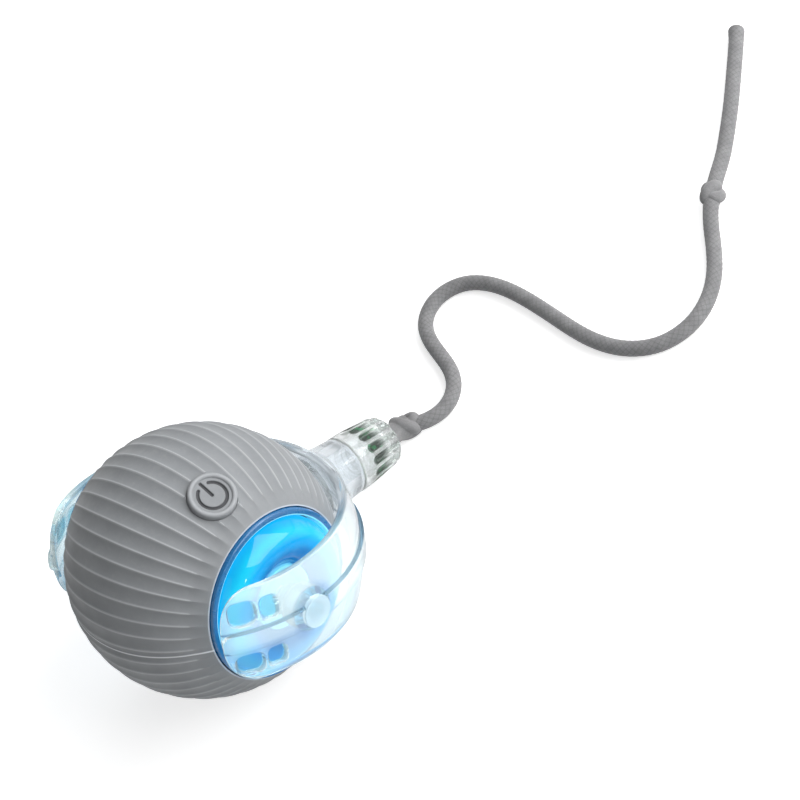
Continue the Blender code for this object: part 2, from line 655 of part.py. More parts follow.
def gear_blank(name, teeth, phase, low, width, matrix, material=None):
    """A toothed disc: a flat curve with thickness, made a mesh so that it can be cut."""
    curve = bpy.data.curves.new(name, "CURVE")
    curve.dimensions = "2D"
    curve.fill_mode = "BOTH"
    curve.extrude = width / 2
    spline = curve.splines.new("POLY")
    outline = gear_outline(teeth, phase)
    spline.points.add(len(outline) - 1)
    for point, (x, y) in zip(spline.points, outline):
        point.co = (x, y, 0.0, 1.0)
    spline.use_cyclic_u = True
    guide = bpy.data.objects.new(name, curve)
    CUTTERS.objects.link(guide)
    bpy.context.view_layer.update()
    mesh = bpy.data.meshes.new_from_object(guide.evaluated_get(bpy.context.evaluated_depsgraph_get()))
    bpy.data.objects.remove(guide)
    bm = bmesh.new()
    bm.from_mesh(mesh)
    bmesh.ops.remove_doubles(bm, verts=bm.verts, dist=MERGE / 10)
    bmesh.ops.recalc_face_normals(bm, faces=bm.faces)
    bm.to_mesh(mesh)
    bm.free()
    place = matrix @ Matrix.Translation((0.0, 0.0, low + width / 2))
    return add_object(name, mesh, BALL, place, material)


def centre_distance(first, second):
    return GEAR_MODULE * (first + second) / 2


def layshaft_place():
    """The compound gear's centre, in reach of both the motor and the drive shaft."""
    first = centre_distance(PINION_TEETH, COMPOUND_BIG_TEETH)
    second = centre_distance(COMPOUND_SMALL_TEETH, OUTPUT_TEETH)
    height = (second ** 2 - first ** 2 + MOTOR_Z ** 2) / (2 * MOTOR_Z)
    return math.sqrt(second ** 2 - height ** 2), height


def axle_at(y, z):
    """The frame of an axle along X whose own X axis points to +Y and own Y axis to +Z."""
    turn = Matrix(((0, 0, 1, 0), (1, 0, 0, 0), (0, 1, 0, 0), (0, 0, 0, 1)))
    return Matrix.Translation((0.0, y, z)) @ turn


def make_gears():
    lay_y, lay_z = layshaft_place()
    motor = axle_at(0.0, MOTOR_Z)
    lay = axle_at(lay_y, lay_z)
    drive = axle_at(0.0, 0.0)
    towards_lay = math.atan2(lay_z, lay_y)
    towards_motor = math.atan2(MOTOR_Z - lay_z, -lay_y)
    compound_phase = towards_motor
    pinion_phase = towards_motor + math.pi + math.pi / PINION_TEETH
    output_phase = towards_lay + math.pi / OUTPUT_TEETH
    small_phase = towards_lay + math.pi
    pinion = gear_blank("motor_pinion", PINION_TEETH, pinion_phase, FIRST_STAGE_X, FIRST_STAGE_WIDTH,
                        motor, "brass")
    join(pinion, cylinder("join_motor_shaft", MOTOR_SHAFT_RADIUS, MOTOR_FRONT_X - MOTOR_BOSS_LENGTH,
                          FIRST_STAGE_X + FIRST_STAGE_WIDTH / 2, BALL, motor, segments=SMALL_SEGMENTS))
    compound = gear_blank("compound_gear", COMPOUND_BIG_TEETH, compound_phase, FIRST_STAGE_X,
                          FIRST_STAGE_WIDTH, lay, "gear")
    small_low = FIRST_STAGE_X + FIRST_STAGE_WIDTH / 2
    small_end = SECOND_STAGE_X + SECOND_STAGE_WIDTH
    join(compound, gear_blank("join_small_gear", COMPOUND_SMALL_TEETH, small_phase, small_low,
                              small_end - small_low, lay))
    cut(compound, cylinder("cut_compound_bore", LAYSHAFT_BORE_RADIUS, FIRST_STAGE_X - OVERRUN,
                           small_end + OVERRUN, BALL, lay, segments=SMALL_SEGMENTS))
    output = gear_blank("output_gear", OUTPUT_TEETH, output_phase, SECOND_STAGE_X,
                        SECOND_STAGE_WIDTH, drive, "gear")
    cut(output, cylinder("cut_output_bore", BORE_RADIUS, SECOND_STAGE_X - OVERRUN,
                         small_end + OVERRUN, BALL, drive, segments=MIDDLE_SEGMENTS))
    cylinder("layshaft_pin", LAYSHAFT_RADIUS, GEAR_PLATE_X, small_end, BALL, lay, "steel",
             segments=SMALL_SEGMENTS)
    cylinder("drive_shaft", SHAFT_RADIUS, SHAFT_START_X, SHAFT_END_X, BALL, drive, "steel",
             segments=MIDDLE_SEGMENTS)
    make_bush("bush_inner", GEAR_PLATE_X, GEAR_PLATE_THICKNESS + CLEARANCE, drive)
    make_bush("bush_outer", END_PLATE_X, END_PLATE_THICKNESS, drive)


def make_bush(name, low, length, matrix):
    """A bearing bush, whose flange stands on the gear plate's side that faces the gears."""
    high = low + length
    profile = [(BORE_RADIUS, high), (BUSH_RADIUS, high), (BUSH_RADIUS, low), (BORE_RADIUS, low)]
    if name == "bush_inner":
        flange = high + BUSH_FLANGE_THICKNESS
        profile[0:2] = [(BORE_RADIUS, flange), (BUSH_FLANGE_RADIUS, flange),
                        (BUSH_FLANGE_RADIUS, high), (BUSH_RADIUS, high)]
    turned(name, profile, BALL, matrix, "brass", segments=MIDDLE_SEGMENTS, closed=True)


def make_weight():
    """A half disc of steel with a hub, hanging down from the drive shaft."""
    hang = Matrix.Rotation(WEIGHT_SWING + BALL_ROLL, 4, "X") @ ALONG_X
    weight = cylinder("eccentric_weight", WEIGHT_RADIUS, WEIGHT_X, WEIGHT_X + WEIGHT_WIDTH, BALL, hang,
                      "steel")
    reach = WEIGHT_RADIUS + OVERRUN
    cut(weight, box("cut_weight_half", (-reach, -reach, WEIGHT_X - OVERRUN),
                    (-BORE_RADIUS / 2, reach, WEIGHT_X + WEIGHT_WIDTH + OVERRUN), BALL, hang))
    inset = CLEARANCE
    join(weight, cylinder("join_weight_hub", WEIGHT_HUB_RADIUS, WEIGHT_X + inset,
                          WEIGHT_X + WEIGHT_WIDTH - inset, BALL, hang, segments=MIDDLE_SEGMENTS))
    cut(weight, cylinder("cut_weight_bore", BORE_RADIUS, WEIGHT_X - OVERRUN,
                         WEIGHT_X + WEIGHT_WIDTH + OVERRUN, BALL, hang, segments=MIDDLE_SEGMENTS))


# Chassis and what it carries


def make_chassis():
    lay = axle_at(*layshaft_place())
    drive = axle_at(0.0, 0.0)
    motor = axle_at(0.0, MOTOR_Z)
    plate_high = GEAR_PLATE_X + GEAR_PLATE_THICKNESS
    chassis = cylinder("chassis", GEAR_PLATE_RADIUS, GEAR_PLATE_X, plate_high, BALL, drive, "shell")
    sleeve_radius = MOTOR_RADIUS + CLEARANCE
    sleeve = cylinder("join_motor_sleeve", sleeve_radius + MOTOR_SLEEVE_WALL,
                      MOTOR_FRONT_X - MOTOR_SLEEVE_LENGTH, plate_high - GEAR_PLATE_THICKNESS / 2,
                      BALL, motor, segments=MIDDLE_SEGMENTS)
    cradle = box("join_cradle", (CRADLE_BACK_X, -CRADLE_HALF_WIDTH, CRADLE_BOTTOM_Z),
                 (plate_high - GEAR_PLATE_THICKNESS / 2, CRADLE_HALF_WIDTH, BATTERY_Z), BALL,
                 Matrix())
    posts = []
    for number, angle in enumerate(POST_ANGLES):
        place = axle_at(POST_PLACE * math.cos(angle), POST_PLACE * math.sin(angle))
        posts.append(cylinder(f"join_post_{number}", POST_RADIUS, plate_high - GEAR_PLATE_THICKNESS / 2,
                              END_PLATE_X - CLEARANCE, BALL, place, segments=SMALL_SEGMENTS))
    join(chassis, sleeve, cradle, *posts)
    cell_room = cylinder("cut_cell_room", BATTERY_RADIUS + CLEARANCE, -BATTERY_LENGTH, BATTERY_LENGTH,
                         BALL, Matrix.Translation((BATTERY_X, 0.0, BATTERY_Z)) @ ALONG_Y)
    motor_room = cylinder("cut_motor_room", sleeve_radius, -BALL_RADIUS, MOTOR_FRONT_X + CLEARANCE,
                          BALL, motor, segments=MIDDLE_SEGMENTS)
    motor_hole = cylinder("cut_motor_hole", MOTOR_BOSS_RADIUS + CLEARANCE, -OVERRUN,
                          plate_high + OVERRUN, BALL, motor, segments=MIDDLE_SEGMENTS)
    lay_hole = cylinder("cut_layshaft_hole", LAYSHAFT_RADIUS + CLEARANCE, GEAR_PLATE_X - OVERRUN,
                        plate_high + OVERRUN, BALL, lay, segments=SMALL_SEGMENTS)
    bush_hole = cylinder("cut_bush_hole", BUSH_RADIUS + CLEARANCE, GEAR_PLATE_X - OVERRUN,
                         plate_high + OVERRUN, BALL, drive, segments=MIDDLE_SEGMENTS)
    cut(chassis, cell_room, motor_room, motor_hole, lay_hole, bush_hole)

    end_plate = cylinder("end_plate", END_PLATE_RADIUS, END_PLATE_X, END_PLATE_X + END_PLATE_THICKNESS,
                         BALL, drive, "shell")
    cut(end_plate, cylinder("cut_end_bush_hole", BUSH_RADIUS + CLEARANCE, END_PLATE_X - OVERRUN,
                            END_PLATE_X + OVERRUN, BALL, drive, segments=MIDDLE_SEGMENTS))


def make_power():
    """Cell, motor, control board and charging port."""
    half = BATTERY_LENGTH / 2
    cell_axis = Matrix.Translation((BATTERY_X, 0.0, BATTERY_Z)) @ ALONG_Y
    shoulder = half - BATTERY_NUB_LENGTH
    turned("battery_cell", ((0.0, half), (BATTERY_NUB_RADIUS, half), (BATTERY_NUB_RADIUS, shoulder),
                            (BATTERY_RADIUS, shoulder), (BATTERY_RADIUS, -half), (0.0, -half)),
           BALL, cell_axis, "cell")
    motor_back = MOTOR_FRONT_X - MOTOR_LENGTH
    boss_end = MOTOR_FRONT_X + MOTOR_BOSS_LENGTH
    shaft_room = MOTOR_SHAFT_RADIUS + CLEARANCE
    shaft_end = MOTOR_FRONT_X - MOTOR_BOSS_LENGTH - CLEARANCE
    turned("motor", ((0.0, shaft_end), (shaft_room, shaft_end), (shaft_room, boss_end),
                     (MOTOR_BOSS_RADIUS, boss_end), (MOTOR_BOSS_RADIUS, MOTOR_FRONT_X),
                     (MOTOR_RADIUS, MOTOR_FRONT_X), (MOTOR_RADIUS, motor_back), (0.0, motor_back)),
           BALL, axle_at(0.0, MOTOR_Z), "steel", segments=MIDDLE_SEGMENTS)
    board_top = CRADLE_BOTTOM_Z - CLEARANCE
    board_low = board_top - BOARD_THICKNESS
    board = box("control_board", (BOARD_X - BOARD_LENGTH / 2, -BOARD_WIDTH / 2, board_low),
                (BOARD_X + BOARD_LENGTH / 2, BOARD_WIDTH / 2, board_top), BALL, Matrix(), "board")
    half_chip = CHIP_SIDE / 2
    chip = box("join_chip", (BOARD_X - half_chip, CHIP_Y - half_chip, board_low - CHIP_HEIGHT),
               (BOARD_X + half_chip, CHIP_Y + half_chip, board_low + BOARD_THICKNESS / 2), BALL,
               Matrix())
    join(board, chip)

    port = box("charging_port", (-PORT_HEIGHT / 2, -PORT_WIDTH / 2, PORT_MOUTH - PORT_DEPTH),
               (PORT_HEIGHT / 2, PORT_WIDTH / 2, PORT_MOUTH), PORT, Matrix(), "steel")
    room_height = PORT_HEIGHT / 2 - PORT_WALL
    room_width = PORT_WIDTH / 2 - PORT_WALL
    room_low = PORT_MOUTH - PORT_DEPTH + PORT_WALL
    cut(port, box("cut_port_room", (-room_height, -room_width, room_low),
                  (room_height, room_width, PORT_MOUTH + OVERRUN), PORT, Matrix()))
    tongue = PORT_TONGUE_THICKNESS / 2
    join(port, box("join_port_tongue", (-tongue, -PORT_TONGUE_WIDTH / 2, room_low - PORT_WALL / 2),
                   (tongue, PORT_TONGUE_WIDTH / 2, room_low + PORT_TONGUE_LENGTH), PORT, Matrix()))


# Yoke


def on_sphere(radius, longitude, latitude):
    """A point of the yoke's sphere. Longitude runs from the right pole round the back."""
    flat = radius * math.cos(latitude)
    return Vector((flat * math.cos(longitude), flat * math.sin(longitude),
                   radius * math.sin(latitude)))


def band_mesh(name, radius, half_width, tip_round, columns, rows):
    """An open grid laid on a sphere, as long as the yoke, with rounded ends."""
    bm = bmesh.new()
    bmesh.ops.create_grid(bm, x_segments=columns, y_segments=rows, size=1.0)
    half_latitude = math.asin(half_width / radius)
    shares = []
    for vert in bm.verts:
        across = math.sin(vert.co.y * math.pi / 2)
        round_off = tip_round * (1 - (1 - abs(across) ** BAND_TIP_POWER_SHARE) ** (1 / BAND_TIP_POWER_SHARE))
        reach = math.pi / 2 + BAND_TIP_ANGLE - round_off
        longitude = math.pi / 2 + vert.co.x * reach
        past_pole = max(0.0, abs(longitude - math.pi / 2) - math.pi / 2) / BAND_TIP_ANGLE
        shares.append(1.0 - (1.0 - BAND_TIP_WALL_SHARE) * min(1.0, past_pole) ** 2)
        vert.co = on_sphere(radius, longitude, across * half_latitude)
    bm.normal_update()
    bm.faces.ensure_lookup_table()
    if bm.faces[0].normal.dot(bm.faces[0].calc_center_median()) < 0:
        bmesh.ops.reverse_faces(bm, faces=bm.faces)
    mesh = bpy.data.meshes.new(name)
    bm.to_mesh(mesh)
    bm.free()
    return mesh, shares


def thicken(obj, shares, wall):
    """Give the open band its wall, thinner towards the tips."""
    group = obj.vertex_groups.new(name="wall")
    for index, share in enumerate(shares):
        group.add([index], share, "REPLACE")
    solid = obj.modifiers.new("wall", "SOLIDIFY")
    solid.thickness = wall
    solid.offset = 1.0
    solid.vertex_group = group.name


def make_yoke():
    mesh, shares = band_mesh("yoke_band", BAND_INNER, BAND_HALF_WIDTH, BAND_TIP_ROUND, BAND_COLUMNS,
                             BAND_ROWS)
    yoke = add_object("yoke_band", mesh, YOKE, Matrix(), "clear")
    thicken(yoke, shares, BAND_WALL)
    soften = yoke.modifiers.new("soften", "BEVEL")
    soften.width = BAND_CHAMFER
    soften.segments = 1
    soften.angle_limit = math.radians(60.0)

    spine_radius = BAND_INNER + BAND_WALL * BAND_TIP_WALL_SHARE - SPINE_FOOT
    spine_tip = math.asin(SPINE_HALF_WIDTH / spine_radius)
    mesh, shares = band_mesh("join_spine", spine_radius, SPINE_HALF_WIDTH, spine_tip, BAND_COLUMNS,
                             SPINE_ROWS)
    spine = add_object("join_spine", mesh, YOKE, Matrix())
    spine_wall = BAND_INNER + BAND_WALL + SPINE_HEIGHT - spine_radius
    thicken(spine, shares, spine_wall)
    join(yoke, spine, make_socket(), *pivot_bosses())
    cut(yoke, *pocket_cutters(), *pin_cutters(), socket_bore())
    return yoke


def make_socket():
    """Tube at the back of the band, and the threaded neck that takes the cap."""
    start = BAND_INNER + BAND_WALL / 3
    flare_end = BAND_INNER + BAND_WALL + SOCKET_FLARE_LENGTH
    neck_end = SOCKET_END + NECK_LENGTH
    profile = [(0.0, neck_end), (NECK_RADIUS - THREAD_HEIGHT, neck_end)]
    threads = int(NECK_LENGTH / THREAD_PITCH) - 1
    for number in range(threads):
        crest = neck_end - THREAD_PITCH * (number + THREAD_START_SHARE)
        profile += [(NECK_RADIUS - THREAD_HEIGHT, crest + THREAD_PITCH / 3), (NECK_RADIUS, crest),
                    (NECK_RADIUS - THREAD_HEIGHT, crest - THREAD_PITCH / 3)]
    profile += [(NECK_RADIUS - THREAD_HEIGHT, SOCKET_END), (SOCKET_RADIUS, SOCKET_END),
                (SOCKET_BASE_RADIUS, flare_end), (SOCKET_FLARE_RADIUS, start), (0.0, start)]
    return turned("join_socket", profile, YOKE, ALONG_Y, segments=SOCKET_SEGMENTS)


def socket_bore():
    return cylinder("cut_socket_bore", SOCKET_BORE_RADIUS, SOCKET_BORE_START,
                    SOCKET_END + NECK_LENGTH + OVERRUN, YOKE, ALONG_Y, segments=MIDDLE_SEGMENTS)


def pivot_bosses():
    """Stepped bosses inside the band, which reach in to the hubs."""
    high = BAND_INNER + BAND_WALL / 2
    profile = ((0.0, high), (PIVOT_BOSS_RADIUS, high), (PIVOT_BOSS_RADIUS, PIVOT_BOSS_X),
               (PIVOT_STEP_RADIUS, PIVOT_BOSS_X), (PIVOT_STEP_RADIUS, PIVOT_STEP_X),
               (0.0, PIVOT_STEP_X))
    return [turned(f"join_pivot_boss_{side}", profile, YOKE, matrix, segments=MIDDLE_SEGMENTS)
            for side, matrix in SIDES]


def pin_cutters():
    """Stepped cutters for the pins' shafts and heads."""
    head_room = BAND_INNER + BAND_WALL + SPINE_HEIGHT - PIN_HEAD_THICKNESS - CLEARANCE
    outside = BAND_INNER + BAND_WALL + SPINE_HEIGHT + OVERRUN
    hole = PIN_RADIUS + CLEARANCE
    head = PIN_HEAD_RADIUS + CLEARANCE
    inside = PIVOT_STEP_X - OVERRUN
    profile = ((0.0, outside), (head, outside), (head, head_room), (hole, head_room), (hole, inside),
               (0.0, inside))
    return [turned(f"cut_pin_{side}", profile, YOKE, matrix, segments=MIDDLE_SEGMENTS) for side, matrix in SIDES]


def pocket_cutters():
    """Shallow oval pockets on both sides of the spine on each paddle."""
    tip_reach = BAND_INNER * math.sin(BAND_TIP_ANGLE)
    tools = []
    for number, (past_pole, across, long_share, wide_share) in enumerate(POCKET_SHARES):
        outer = BAND_INNER + BAND_WALL * (1 - (1 - BAND_TIP_WALL_SHARE) * past_pole ** 2)
        size = Matrix.Diagonal((long_share * BAND_HALF_WIDTH, wide_share * BAND_HALF_WIDTH, 1.0, 1.0))

        def build(bm):
            bmesh.ops.create_cone(bm, cap_ends=True, segments=SMALL_SEGMENTS, radius1=1.0, radius2=1.0,
                                  depth=2 * POCKET_DEPTH, matrix=size)
        for side in (1, -1):
            for level in (1, -1):
                longitude = -math.asin(past_pole * tip_reach / BAND_INNER)
                if side < 0:
                    longitude = math.pi - longitude
                latitude = math.asin(level * across * BAND_HALF_WIDTH / BAND_INNER)
                centre = on_sphere(outer, longitude, latitude)
                outward = centre.normalized()
                lengthwise = Vector((-math.sin(longitude), math.cos(longitude), 0.0))
                turn = Matrix((lengthwise, outward.cross(lengthwise), outward)).transposed().to_4x4()
                tools.append(add_object(f"cut_pocket_{side}_{number}_{level}",
                                        mesh_from("cut_pocket", build), YOKE,
                                        Matrix.Translation(centre) @ turn))
    return tools


def make_pins():
    head_low = BAND_INNER + BAND_WALL + SPINE_HEIGHT - PIN_HEAD_THICKNESS
    head_high = BAND_INNER + BAND_WALL + SPINE_HEIGHT
    profile = ((0.0, head_high), (PIN_HEAD_RADIUS, head_high), (PIN_HEAD_RADIUS, head_low),
               (PIN_RADIUS, head_low), (PIN_RADIUS, PIN_TIP_X + PIN_TAPER),
               (PIN_RADIUS - PIN_TAPER, PIN_TIP_X), (0.0, PIN_TIP_X))
    for side, matrix in SIDES:
        turned(f"pivot_pin_{side}", profile, YOKE, matrix, "clear", segments=MIDDLE_SEGMENTS)


# Cap and tail


def make_cap():
    low = CAP_START
    room = NECK_RADIUS + CLEARANCE
    floor = CAP_END - CAP_END_WALL
    outside = [(CAP_END_RADIUS - CAP_ROUND, CAP_END)]
    for step in range(1, CAP_ROUND_STEPS + 1):
        turn = math.pi / 2 * step / CAP_ROUND_STEPS
        outside.append((CAP_END_RADIUS - CAP_ROUND * (1 - math.sin(turn)),
                        CAP_END - CAP_ROUND * (1 - math.cos(turn))))
    outside += [(CAP_RADIUS, low + CAP_COLLAR_LENGTH), (CAP_RADIUS, low)]
    profile = ([(CAP_HOLE_RADIUS, CAP_END)] + outside
               + [(room, low), (room, floor), (CAP_HOLE_RADIUS, floor)])
    cap = turned("tail_cap", profile, YOKE, ALONG_Y, "clear", segments=2 * CAP_FLUTES, closed=True)
    arch = low + CAP_COLLAR_LENGTH + CAP_FLUTE_RADIUS
    arch_side = CAP_FLUTE_RADIUS * CAP_FLUTE_ARCH_SHARE
    cutter = ((0.0, CAP_END + OVERRUN), (CAP_FLUTE_RADIUS, CAP_END + OVERRUN), (CAP_FLUTE_RADIUS, arch),
              (arch_side, arch - arch_side), (0.0, arch - CAP_FLUTE_RADIUS))
    slope = math.atan((CAP_RADIUS - CAP_END_RADIUS) / (CAP_END - low - CAP_COLLAR_LENGTH))
    for number in range(CAP_FLUTES):
        place = (ALONG_Y @ Matrix.Rotation(2 * math.pi * number / CAP_FLUTES, 4, "Z")
                 @ Matrix.Translation((CAP_RADIUS + CAP_FLUTE_RADIUS - CAP_FLUTE_DEPTH, 0.0, 0.0))
                 @ Matrix.Translation((0.0, 0.0, arch)) @ Matrix.Rotation(-slope, 4, "Y")
                 @ Matrix.Translation((0.0, 0.0, -arch)))
        cut(cap, turned(f"cut_flute_{number}", cutter, YOKE, place, segments=FLUTE_SEGMENTS))


def smooth_path(points):
    """A smooth curve drawn by its guide points, with a mark where each span of it ends."""
    path = []
    for index in range(len(points) - 3):
        first, second, third, fourth = points[index:index + 4]
        for step in range(CORD_STEPS):
            t = step / CORD_STEPS
            path.append((first * (1 - t) ** 3 + second * (3 * t ** 3 - 6 * t ** 2 + 4)
                         + third * (1 + 3 * t + 3 * t ** 2 - 3 * t ** 3) + fourth * t ** 3) / 6)
    path.append((points[-3] + 4 * points[-2] + points[-1]) / 6)
    return path


def lay_on_floor(path, knots):
    """Set the rope's height: on the floor, and up to the middle of each knot."""
    low = ROPE_DIAMETER / 2
    for point in path:
        point.z = low
        for centre in knots:
            near = max(0.0, 1 - ((point.xy - centre.xy).length / KNOT_RISE_LENGTH) ** 2)
            point.z = max(point.z, low + (KNOT_RADIUS - low) * near ** 2)


def trim(path, start_cut, end_cut):
    """Drop a length from each end of a path, measured along it."""
    for _ in range(2):
        left = start_cut
        while left > 0.0:
            step = (path[1] - path[0]).length
            if step > left:
                path = [path[0].lerp(path[1], left / step)] + path[1:]
                left = 0.0
            else:
                path = path[1:]
                left -= step
        path = path[::-1]
        start_cut, end_cut = end_cut, start_cut
    return path


def resample(path, pitch):
    """Points an even distance apart along a path, with both of its ends."""
    total = sum((b - a).length for a, b in zip(path, path[1:]))
    count = max(2, round(total / pitch) + 1)
    wanted = [total * i / (count - 1) for i in range(count)]
    result = [path[0]]
    walked = 0.0
    for a, b in zip(path, path[1:]):
        step = (b - a).length
        while len(result) < count - 1 and wanted[len(result)] <= walked + step:
            result.append(a.lerp(b, (wanted[len(result)] - walked) / step))
        walked += step
    result.append(path[-1])
    return result


def rope(name, path, pitch=ROPE_PITCH):
    """A stretch of rope: a curve with a round section and filled caps, square at its ends."""
    curve = bpy.data.curves.new(name, "CURVE")
    curve.dimensions = "3D"
    curve.bevel_depth = ROPE_DIAMETER / 2
    curve.bevel_resolution = 2
    curve.use_fill_caps = True
    spline = curve.splines.new("POLY")
    square = ROPE_DIAMETER / 2
    inner = trim(path, square, square)
    points = [path[0], *resample(inner, pitch), path[-1]]
    spline.points.add(len(points) - 1)
    for point, place in zip(spline.points, points):
        point.co = (*place, 1.0)
    return add_object(name, curve, None, Matrix(), "rope")


def knot(name, centre, direction, radius, length, material):
    """A tied lump: a ball with three turns of rope showing as bulges that wind round it."""
    def build(bm):
        bmesh.ops.create_uvsphere(bm, u_segments=KNOT_COLUMNS, v_segments=KNOT_ROWS, radius=1.0)
        for vert in bm.verts:
            around = math.atan2(vert.co.y, vert.co.x)
            wave = math.cos(2 * around + KNOT_TWIST_SHARE * vert.co.z)
            bulge = 1 - KNOT_BULGE_SHARE * (1 - wave)
            vert.co.x *= radius * bulge
            vert.co.y *= radius * bulge
            vert.co.z *= length / 2
    turn = direction.to_track_quat("Z", "X").to_matrix().to_4x4()
    return add_object(name, mesh_from(name, build), None, Matrix.Translation(centre) @ turn, material)


def make_tail():
    yoke_frame = CENTRE @ Matrix.Rotation(-YOKE_DROOP, 4, "X")
    cap_floor = CAP_END - CAP_END_WALL
    anchor_end = cap_floor - CLEARANCE
    anchor = yoke_frame @ Vector((0.0, anchor_end - ANCHOR_LENGTH / 2, 0.0))
    trailing = (yoke_frame.to_3x3() @ Vector((0.0, 1.0, 0.0))).normalized()
    knot("anchor_knot", anchor, trailing, ANCHOR_RADIUS, ANCHOR_LENGTH, "inner_knot")
    start = yoke_frame @ Vector((0.0, anchor_end + CLEARANCE, 0.0))
    leave = yoke_frame @ Vector((0.0, CAP_END + CLEARANCE, 0.0))

    main_path = smooth_path([Vector((leave.x + x, leave.y + y, 0.0)) for x, y in TAIL_ROUTE])
    second = SECOND_KNOT_SPAN * CORD_STEPS
    knots = main_path[0].copy(), main_path[second].copy()
    lay_on_floor(main_path, knots)
    first_centre = main_path[0]
    neck_path = smooth_path([2 * start - leave, start, leave, first_centre, 2 * first_centre - leave])

    half = KNOT_LENGTH / 2 + CLEARANCE
    rope("rope_neck", trim(neck_path, 0.0, half), ROPE_PITCH / 3)
    rope("rope_main", trim(main_path[:second + 1], half, half))
    rope("rope_end", trim(main_path[second:], half, 0.0))
    for name, mark in (("knot_first", 0), ("knot_second", second)):
        reach = CORD_STEPS // 2
        direction = (main_path[mark + reach] - main_path[max(0, mark - reach)]).normalized()
        knot(name, main_path[mark], direction, KNOT_RADIUS, KNOT_LENGTH, "rope")


def main():
    halves = half_space("upper"), half_space("lower")
    windows = window_cutters()
    make_skins(*halves, windows)
    make_shells(*halves, windows)
    make_screws()
    make_windows()
    make_button()
    make_gears()
    make_weight()
    make_chassis()
    make_power()
    make_yoke()
    make_pins()
    make_cap()
    make_tail()


main()
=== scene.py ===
# %% [markdown]
# # A self rolling cat ball
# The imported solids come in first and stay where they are. They are the ball with its windows, the
# clear yoke that trails behind it, and a rope tail. Everything after this cell is laid over them.

# %% Load the fixed frame
import json
import math

import bpy
from mathutils import Matrix, Vector


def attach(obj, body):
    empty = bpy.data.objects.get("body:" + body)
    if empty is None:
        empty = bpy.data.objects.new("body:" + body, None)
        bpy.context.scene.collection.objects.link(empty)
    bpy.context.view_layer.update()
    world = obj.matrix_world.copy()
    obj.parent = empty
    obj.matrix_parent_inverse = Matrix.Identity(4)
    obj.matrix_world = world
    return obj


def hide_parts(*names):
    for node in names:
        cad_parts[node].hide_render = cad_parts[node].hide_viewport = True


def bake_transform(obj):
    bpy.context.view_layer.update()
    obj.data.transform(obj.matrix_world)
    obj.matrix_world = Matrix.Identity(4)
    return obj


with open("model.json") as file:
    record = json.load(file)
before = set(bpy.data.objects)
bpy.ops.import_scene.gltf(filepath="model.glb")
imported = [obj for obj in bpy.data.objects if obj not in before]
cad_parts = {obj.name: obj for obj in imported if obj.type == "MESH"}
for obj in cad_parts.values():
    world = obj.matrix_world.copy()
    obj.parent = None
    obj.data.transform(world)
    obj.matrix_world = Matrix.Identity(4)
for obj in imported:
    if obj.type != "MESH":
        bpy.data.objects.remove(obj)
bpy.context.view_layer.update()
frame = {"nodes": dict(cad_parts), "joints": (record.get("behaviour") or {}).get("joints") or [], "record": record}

MM = 0.001


# %% [markdown]
# The ball, the yoke and the button each have a frame of their own, because the ball has rolled on
# from its seam and the yoke droops until its cap touches the floor. The joints in the record hold
# these axes exactly, so they are read there and not typed in again.

# %% Frames of the ball, the yoke and the button
JOINTS = {joint["name"]: joint for joint in frame["joints"]}
CENTRE = Vector(JOINTS["ball_roll"]["pos_m"])
TRAIL = Vector(JOINTS["tail_slide"]["axis"]).normalized()
BUTTON_AXIS = -Vector(JOINTS["button_press"]["axis"]).normalized()
AXLE = Vector((1.0, 0.0, 0.0))
BUTTON_ROLL = math.radians(3.1)
QUARTER_TURN = math.radians(90.0)
FULL_TURN = 2 * math.pi


def frame_of(x_axis, y_axis, origin):
    """A frame from two axes at right angles to each other."""
    turn = Matrix((x_axis, y_axis, x_axis.cross(y_axis))).transposed().to_4x4()
    return Matrix.Translation(origin) @ turn


seam_roll = math.atan2(BUTTON_AXIS.y, BUTTON_AXIS.z) + BUTTON_ROLL
BALL = Matrix.Translation(CENTRE) @ Matrix.Rotation(-seam_roll, 4, "X")
YOKE = frame_of(AXLE, TRAIL, CENTRE)
SIDES = {"right": Matrix.Rotation(QUARTER_TURN, 4, "Y"), "left": Matrix.Rotation(-QUARTER_TURN, 4, "Y")}
ALONG_Y = Matrix.Rotation(-QUARTER_TURN, 4, "X")
across_button = (AXLE - BUTTON_AXIS * AXLE.dot(BUTTON_AXIS)).normalized()
BUTTON = frame_of(across_button, BUTTON_AXIS.cross(across_button), CENTRE)
print("ball rolled on by", round(math.degrees(seam_roll), 2), "degrees")

# %% [markdown]
# The photograph was taken from above and to the right, with a long lens. The camera here was fitted
# to the ball's outline, its window, its seam and the rope. The lens length follows from the focal
# length in pixels of an image 800 pixels wide.

# %% Camera
CAMERA_PLACE = Vector((0.3023, -0.1003, 0.3418))
CAMERA_RIGHT = Vector((0.72119, 0.55791, -0.41064)).normalized()
CAMERA_UP = Vector((-0.27053, 0.77253, 0.57447))
LENS_LENGTH = 130.7
SENSOR_WIDTH = 36.0
CLIP_NEAR = 0.01
CLIP_FAR = 20.0

camera_data = bpy.data.cameras.new("studio_camera")
camera_data.sensor_width = SENSOR_WIDTH
camera_data.lens = LENS_LENGTH
camera_data.clip_start = CLIP_NEAR
camera_data.clip_end = CLIP_FAR
camera = bpy.data.objects.new("studio_camera", camera_data)
bpy.context.scene.collection.objects.link(camera)
up = (CAMERA_UP - CAMERA_RIGHT * CAMERA_UP.dot(CAMERA_RIGHT)).normalized()
camera.matrix_world = frame_of(CAMERA_RIGHT, up, CAMERA_PLACE)
bpy.context.scene.camera = camera
print("camera", round((CAMERA_PLACE - CENTRE).length, 3), "m from the ball's centre")

